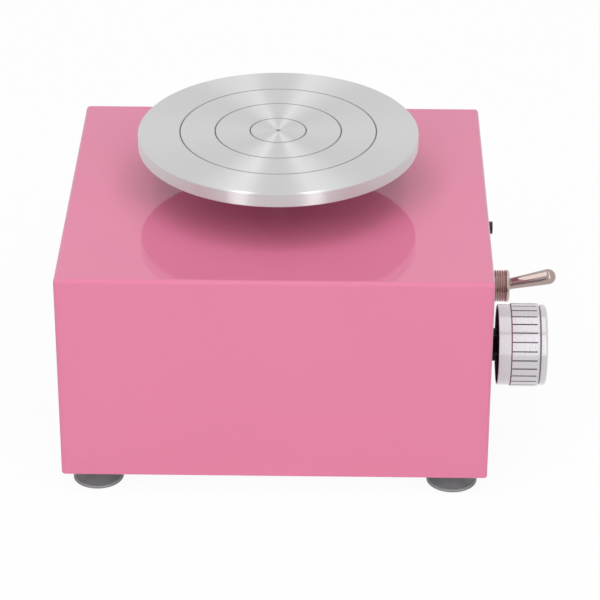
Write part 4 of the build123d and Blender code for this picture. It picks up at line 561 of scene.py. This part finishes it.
class POTTERY_OT_speed_knob(bpy.types.Operator):
    """Turn, flute and finish the speed knob, and blacken what holds it"""

    bl_idname = "pottery.speed_knob"
    bl_label = "Speed knob"

    def execute(self, context):
        sizes = context.scene.pottery_sizes
        colours = context.scene.pottery_colours
        back = KNOB_LOW.x - KNOB_CENTRE.x
        front = KNOB_HIGH.x - KNOB_CENTRE.x
        collar = sizes.knob_collar_width / 2
        grip = (KNOB_HIGH.y - KNOB_LOW.y) / 2
        nose = sizes.knob_nose_width / 2
        edge = sizes.knob_edge
        line = sizes.knob_line
        groove = sizes.knob_groove
        bend = sizes.knob_nose_round
        collar_end = back + sizes.knob_collar
        grip_end = collar_end + sizes.knob_grip
        flute_end = grip_end - sizes.flute_shy
        profile = [
            (back + sizes.knob_core_depth, 0.0),
            (back + sizes.knob_core_depth, sizes.knob_core / 2),
            (back + sizes.knob_back_depth, sizes.knob_core / 2),
            (back + sizes.knob_back_depth, sizes.knob_back / 2),
            (back, sizes.knob_back / 2),
            (back, collar - edge),
            (back + edge, collar),
            (collar_end - line, collar),
            (collar_end - line, collar - line),
            (collar_end, collar - line),
            (collar_end, grip - edge),
            (collar_end + edge, grip),
            (flute_end, grip),
            (grip_end - edge, grip),
            (grip_end, grip - edge),
            (grip_end, nose - groove),
            (grip_end + groove, nose - groove),
            (grip_end + groove, nose - edge),
            (grip_end + groove + edge, nose),
            *arc(front - bend, nose - bend, bend, 0, 90, 8),
            (front, 0.0),
        ]
        # Each flute has an equal share of the grip, and the middle strip of faces in that share is sunk.
        bm = turned(profile, KNOB_CENTRE, (1, 0, 0), FLUTE_STRIPS * sizes.flutes)
        share = 2 * math.pi / sizes.flutes
        sunk = []
        for side in bm.faces:
            middle = side.calc_center_median() - KNOB_CENTRE
            turn = math.atan2(middle.y, middle.z) % share
            in_middle = abs(turn - share / 2) < share / (2 * FLUTE_STRIPS)
            if collar_end + edge < middle.x < flute_end and in_middle:
                sunk.append(side)
        bmesh.ops.inset_individual(bm, faces=sunk, thickness=FLUTE_LEAN, depth=-sizes.flute_depth)
        hole = (KNOB_SCREW_LOW + KNOB_SCREW_HIGH) / 2
        outside = Vector((hole.x, hole.y, KNOB_LOW.z - MM))
        bm = drilled(bm, hole, outside, sizes.knob_screw_hole / 2)
        # Faces in the flutes, the line and the groove take the darker colour, painted shade.
        for side in bm.faces:
            middle = side.calc_center_median() - KNOB_CENTRE
            deep = math.hypot(middle.y, middle.z)
            in_flute = collar_end < middle.x < flute_end and deep < grip - edge
            in_line = collar_end - line <= middle.x <= collar_end and deep < collar - line / 4
            in_groove = grip_end <= middle.x <= grip_end + groove and deep < nose - edge
            side.material_index = int(in_flute or in_line or in_groove)
        # Satin aluminium: turned, then brushed round, so that light spreads along the knob's length.
        satin = turned_aluminium("Satin aluminium, knob", colours.knob, "X", roughness=0.26, streak=1.0,
                                 line_mm=0.4, depth_mm=0.002, centre=KNOB_CENTRE)
        # The flutes, the line behind the collar and the groove behind the nose take a dull, much darker
        # aluminium: painted shade in these recesses, so that they read as dark lines.
        milled_and_shaded = metal_finish("Milled aluminium, flutes with painted shade", colours.flute, roughness=0.45, grain_mm=0.3)
        piece(bm, "knob_body_turned", (satin, milled_and_shaded), "speed_knob", "knob_aluminium", "knob_body")
        # The knob's back is matt: its open skin drinks the light even at a flat angle.
        matt = moulded_finish("Matt black ABS, knob", colours.black, roughness=0.85, grain_mm=0.35, ior=1.15)
        dress(matt, "knob_core")
        # Black oxide: a thin, oily black on steel.
        oxide = metal_finish("Black oxide on steel", colours.oxide, roughness=0.5, grain_mm=0.5)
        dress(oxide, "pot_bushing", "pot_nut", "pot_washer", "knob_set_screw")
        return {"FINISHED"}


class POTTERY_OT_toggle_switch(bpy.types.Operator):
    """Model the switch's lever and finish its plated and moulded pieces"""

    bl_idname = "pottery.toggle_switch"
    bl_label = "Toggle switch"

    def execute(self, context):
        sizes = context.scene.pottery_sizes
        tip = sizes.lever_tip / 2
        root = sizes.lever_root / 2
        ball = sizes.lever_ball / 2
        tail = sizes.lever_tail_width / 2
        leave = math.degrees(math.asin(root / ball))
        enter = math.degrees(math.asin(tail / ball))
        profile = [(-sizes.lever_tail, 0.0), (-sizes.lever_tail, tail)]
        profile += arc(0.0, 0.0, ball, enter - 90, 90 - leave, 24)
        # A ring close to the round end keeps the cone's own shading, so that its streak runs the whole way.
        cone_start = ball * math.cos(math.radians(leave))
        cone_end = sizes.lever_reach - tip
        ring = 0.97
        profile.append((cone_start + ring * (cone_end - cone_start), root + ring * (tip - root)))
        profile += arc(cone_end, 0.0, tip, 0, 90, 14)
        plate = context.scene.pottery_colours.nickel
        # Bright nickel: a warm grey mirror with faint polishing marks.
        nickel = metal_finish("Bright nickel plate", plate, roughness=0.06, grain_mm=0.6,
                              stretch=(0.2, 1.0, 1.0), depth_mm=0.001, spread=0.04)
        # The rolled thread is duller, and its colour is the nickel made 1.35 times paler: painted light for
        # the sparkle on its flanks, so that it looks paler than the nuts.
        dull_thread_painted_light = metal_finish("Nickel plate, rolled thread", shaded(plate, 1.35), roughness=0.24, grain_mm=0.4)
        bm = turned(profile, (0, 0, 0), (1, 0, 0), LEVER_STEPS)
        pin = sizes.lever_pin / 2
        bmesh.ops.create_cone(bm, cap_ends=True, segments=PIN_STEPS, radius1=pin, radius2=pin,
                              depth=sizes.lever_pin_span, matrix=Matrix.Rotation(math.pi / 2, 4, "X"))
        place = Matrix.Translation(LEVER_PIVOT) @ Matrix.Rotation(-sizes.lever_tilt, 4, "Y")
        bmesh.ops.transform(bm, matrix=place, verts=bm.verts)
        piece(bm, "toggle_lever_bat", (nickel,), "switch_lever", "switch_nickel", "toggle_lever")
        dress(dull_thread_painted_light, "toggle_bushing")
        dress(nickel, "toggle_nuts")
        dress(black_plastic(context), "toggle_housing")
        return {"FINISHED"}


class POTTERY_OT_power_jack(bpy.types.Operator):
    """Finish the power jack"""

    bl_idname = "pottery.power_jack"
    bl_label = "Power jack"

    def execute(self, context):
        dress(black_plastic(context), "jack_barrel")
        return {"FINISHED"}


class POTTERY_OT_works(bpy.types.Operator):
    """Finish the motor, the bearing and the electrical pieces inside the case"""

    bl_idname = "pottery.works"
    bl_label = "Inner works"

    def execute(self, context):
        # Drawn and nickel-plated steel: even grey, with faint lines up the can from the drawing die.
        plated = metal_finish("Plated motor steel", linear("#B9B9B7"), roughness=0.26, grain_mm=0.7,
                              stretch=(1.0, 1.0, 0.1))
        dress(plated, "motor_can")
        # Ground steel: bright, with hardly any grain.
        ground = metal_finish("Ground bearing steel", linear("#CFD1D3"), roughness=0.14, grain_mm=0.2,
                              spread=0.03)
        dress(ground, "motor_shaft", "bearing_inner_ring", "bearing_outer_ring", "bearing_balls")
        # Stamped sheets, half a millimetre each: dark steel with level lines.
        stamped = metal_finish("Stamped core steel", linear("#7C7D80"), roughness=0.45, grain_mm=0.5,
                               stretch=(0.02, 0.02, 1.0), depth_mm=0.05, spread=0.25)
        dress(stamped, "rotor_core")
        # Sintered ferrite: black and matt, with fine pores.
        ferrite = moulded_finish("Sintered ferrite", linear("#303033"), roughness=0.7, grain_mm=0.5,
                                 spread=0.2)
        dress(ferrite, "motor_magnets")
        # Enamelled winding wire, 0.4 mm thick: reddish and glossy, laid side by side.
        wound = metal_finish("Enamelled copper wire", linear("#B4623A"), roughness=0.22, grain_mm=0.4,
                             stretch=(1.0, 1.0, 0.1), depth_mm=0.08, spread=0.2)
        dress(wound, "rotor_windings")
        # Worn copper: warm, with the fine rings that the brushes leave.
        copper = metal_finish("Worn copper", linear("#C07A52"), roughness=0.3, grain_mm=0.3,
                              stretch=(0.05, 0.05, 1.0))
        dress(copper, "commutator", "toggle_rocker")
        # Stamped and tinned brass: pale yellow with a soft shine.
        brass = metal_finish("Stamped brass", linear("#CDB274"), roughness=0.3, grain_mm=0.5)
        dress(brass, "motor_terminals", "bearing_cage", "pot_lugs", "toggle_contacts", "jack_terminals")
        # Oiled sintered bronze: brown, dull and speckled with pores.
        bronze = metal_finish("Sintered bronze", linear("#9A6F45"), roughness=0.5, grain_mm=0.25, spread=0.2)
        dress(bronze, "rear_bush")
        # Pressed graphite: near black with a greasy sheen.
        carbon = moulded_finish("Pressed carbon", linear("#242426"), roughness=0.5, grain_mm=0.4, spread=0.15)
        dress(carbon, "motor_brushes")
        # Phenolic board and mouldings: brown, with paper fibres in it.
        phenolic = moulded_finish("Phenolic, moulded", linear("#6A4526"), roughness=0.5, grain_mm=0.6,
                                  spread=0.15)
        dress(phenolic, "brush_holders", "pot_wiper", "pot_track")
        # Nylon: milky white, with a waxy skin.
        nylon = moulded_finish("Nylon, moulded", linear("#E3E0D6"), roughness=0.45, grain_mm=0.6, spread=0.03)
        dress(nylon, "board_standoffs", "toggle_plunger")
        # Solder mask over glass cloth: green, shiny and slightly quilted by the weave, 0.6 mm.
        mask = moulded_finish("Solder mask on glass fibre", linear("#1D6B3A"), roughness=0.25, grain_mm=0.6)
        dress(mask, "circuit_board")
        # Polyamide: an even, slightly waxy green.
        polyamide = moulded_finish("Green polyamide, moulded", linear("#2F8A4C"), roughness=0.4, grain_mm=0.5)
        dress(polyamide, "terminal_block")
        # Shrunk PVC sleeve: dark blue and glossy.
        sleeve = moulded_finish("PVC sleeve, shrunk", linear("#1F2A4C"), roughness=0.2, grain_mm=2.0)
        dress(sleeve, "capacitor")
        # Extruded aluminium: plain grey with lines up the fins.
        extruded = metal_finish("Extruded aluminium", linear("#B7B8BA"), roughness=0.35, grain_mm=0.3,
                                stretch=(1.0, 1.0, 0.05))
        dress(extruded, "heat_sink", "pot_shaft")
        dress(black_plastic(context), "power_transistor", "motor_end_cap")
        # PVC insulation: soft, smooth and even in colour.
        for shade, node in (("#C8A92A", "pot_wires"), ("#B02A26", "power_wires"), ("#2B4C9C", "motor_wires")):
            soft = moulded_finish("PVC insulation, " + node, linear(shade), roughness=0.32, grain_mm=1.5)
            dress(soft, node)
        return {"FINISHED"}


class POTTERY_OT_stage(bpy.types.Operator):
    """Set the floor, the lamps, the room's light and the camera"""

    bl_idname = "pottery.stage"
    bl_label = "Stage"

    def execute(self, context):
        scene = context.scene
        stage = scene.pottery_stage
        scene.view_settings.view_transform = "Standard"

        bm = bmesh.new()
        bmesh.ops.create_grid(bm, x_segments=1, y_segments=1, size=FLOOR_REACH)
        mesh = bpy.data.meshes.new("floor")
        bm.to_mesh(mesh)
        bm.free()
        mesh.materials.append(stage_white("White paper floor", stage.floor_glow, scene.pottery_colours.floor))
        floor = bpy.data.objects.new("floor", mesh)
        scene.collection.objects.link(floor)

        # Wide lamps even out matt surfaces; metal mirrors the strips and the lamps beside the camera.
        for name, tilt, size, power in (("fill_lamp", stage.fill_tilt, stage.fill_size, stage.fill_power),
                                        ("rear_lamp", stage.rear_tilt, stage.rear_size, stage.rear_power)):
            place = Matrix.Rotation(tilt, 4, "X") @ Vector((0.0, 0.0, stage.fill_distance))
            wide = self.lamp(scene, name, place, (tilt, 0.0, 0.0), (size, size), power)
            wide.visible_glossy = False
        down = (0.0, 0.0, 0.0)
        for name, side in (("left", -1), ("right", 1)):
            place = (side * stage.strip_offset, STRIP_Y, STRIP_HEIGHT)
            self.lamp(scene, name + "_strip", place, down, STRIP_SIZE, stage.strip_power)
            turn = side * stage.side_angle
            place = (stage.side_distance * math.sin(turn), -stage.side_distance * math.cos(turn), SIDE_HEIGHT)
            self.lamp(scene, name + "_lamp", place, (math.pi / 2, 0.0, turn), SIDE_SIZE, stage.side_power)
        self.room(scene, stage.room_level)

        lens = bpy.data.cameras.new("camera")
        lens.sensor_width = SENSOR_MM
        lens.lens = stage.camera_lens
        camera = bpy.data.objects.new("camera", lens)
        scene.collection.objects.link(camera)
        yaw = Matrix.Rotation(-stage.camera_yaw, 4, "Z")
        pitch = Matrix.Rotation(math.pi / 2 - stage.camera_pitch, 4, "X")
        roll = Matrix.Rotation(stage.camera_roll, 4, "Z")
        camera.matrix_world = Matrix.Translation(Vector(stage.camera_place)) @ yaw @ pitch @ roll
        scene.camera = camera
        return {"FINISHED"}

    def lamp(self, scene, name, place, turn, size, power):
        """A soft box lamp that shines along its own -Z."""
        light = bpy.data.lights.new(name, "AREA")
        light.shape = "RECTANGLE"
        light.size, light.size_y = size
        light.energy = power
        lamp = bpy.data.objects.new(name, light)
        lamp.location = place
        lamp.rotation_euler = turn
        lamp.visible_camera = False
        scene.collection.objects.link(lamp)
        return lamp

    def room(self, scene, soft_level):
        """White to the eye and in reflections, and a plain soft light on everything else."""
        world = bpy.data.worlds.new("White room")
        world.use_nodes = True
        scene.world = world
        tree = world.node_tree
        tree.nodes.clear()
        soft = add_node(tree, "ShaderNodeBackground", {"Color": WHITE, "Strength": soft_level})
        white = add_node(tree, "ShaderNodeBackground", {"Color": WHITE, "Strength": 1.0})
        both = add_node(tree, "ShaderNodeMixShader", {0: seen_ray(tree), 1: soft.outputs[0],
                                                      2: white.outputs[0]})
        add_node(tree, "ShaderNodeOutputWorld", {"Surface": both.outputs[0]})


STEPS = (POTTERY_OT_case, POTTERY_OT_wheel_head, POTTERY_OT_feet, POTTERY_OT_speed_knob,
         POTTERY_OT_toggle_switch, POTTERY_OT_power_jack, POTTERY_OT_works, POTTERY_OT_stage)
GROUPS = {"pottery_sizes": PotteryWheelSizes, "pottery_colours": PotteryWheelColours,
          "pottery_stage": PotteryWheelStage}


class POTTERY_PT_panel(bpy.types.Panel):
    """Sizes, colours and pieces of the pottery wheel"""

    bl_idname = "POTTERY_PT_panel"
    bl_label = "Pottery Wheel"
    bl_space_type = "VIEW_3D"
    bl_region_type = "UI"
    bl_category = "Pottery Wheel"

    def draw(self, context):
        for name, group in GROUPS.items():
            box = self.layout.box()
            for setting in group.__annotations__:
                box.prop(getattr(context.scene, name), setting)
        for step in STEPS:
            self.layout.operator(step.bl_idname)


def register():
    """Registers the classes and hangs the settings on the scene."""
    for name, group in GROUPS.items():
        bpy.utils.register_class(group)
        setattr(bpy.types.Scene, name, bpy.props.PointerProperty(type=group))
    for step in STEPS:
        bpy.utils.register_class(step)
    bpy.utils.register_class(POTTERY_PT_panel)


def unregister():
    """Takes the classes and settings away again."""
    bpy.utils.unregister_class(POTTERY_PT_panel)
    for step in reversed(STEPS):
        bpy.utils.unregister_class(step)
    for name, group in GROUPS.items():
        delattr(bpy.types.Scene, name)
        bpy.utils.unregister_class(group)


def main():
    """Builds the wheel and its stage."""
    register()
    for step in STEPS:
        group, name = step.bl_idname.split(".")
        getattr(getattr(bpy.ops, group), name)()


if __name__ == "__main__":
    main()
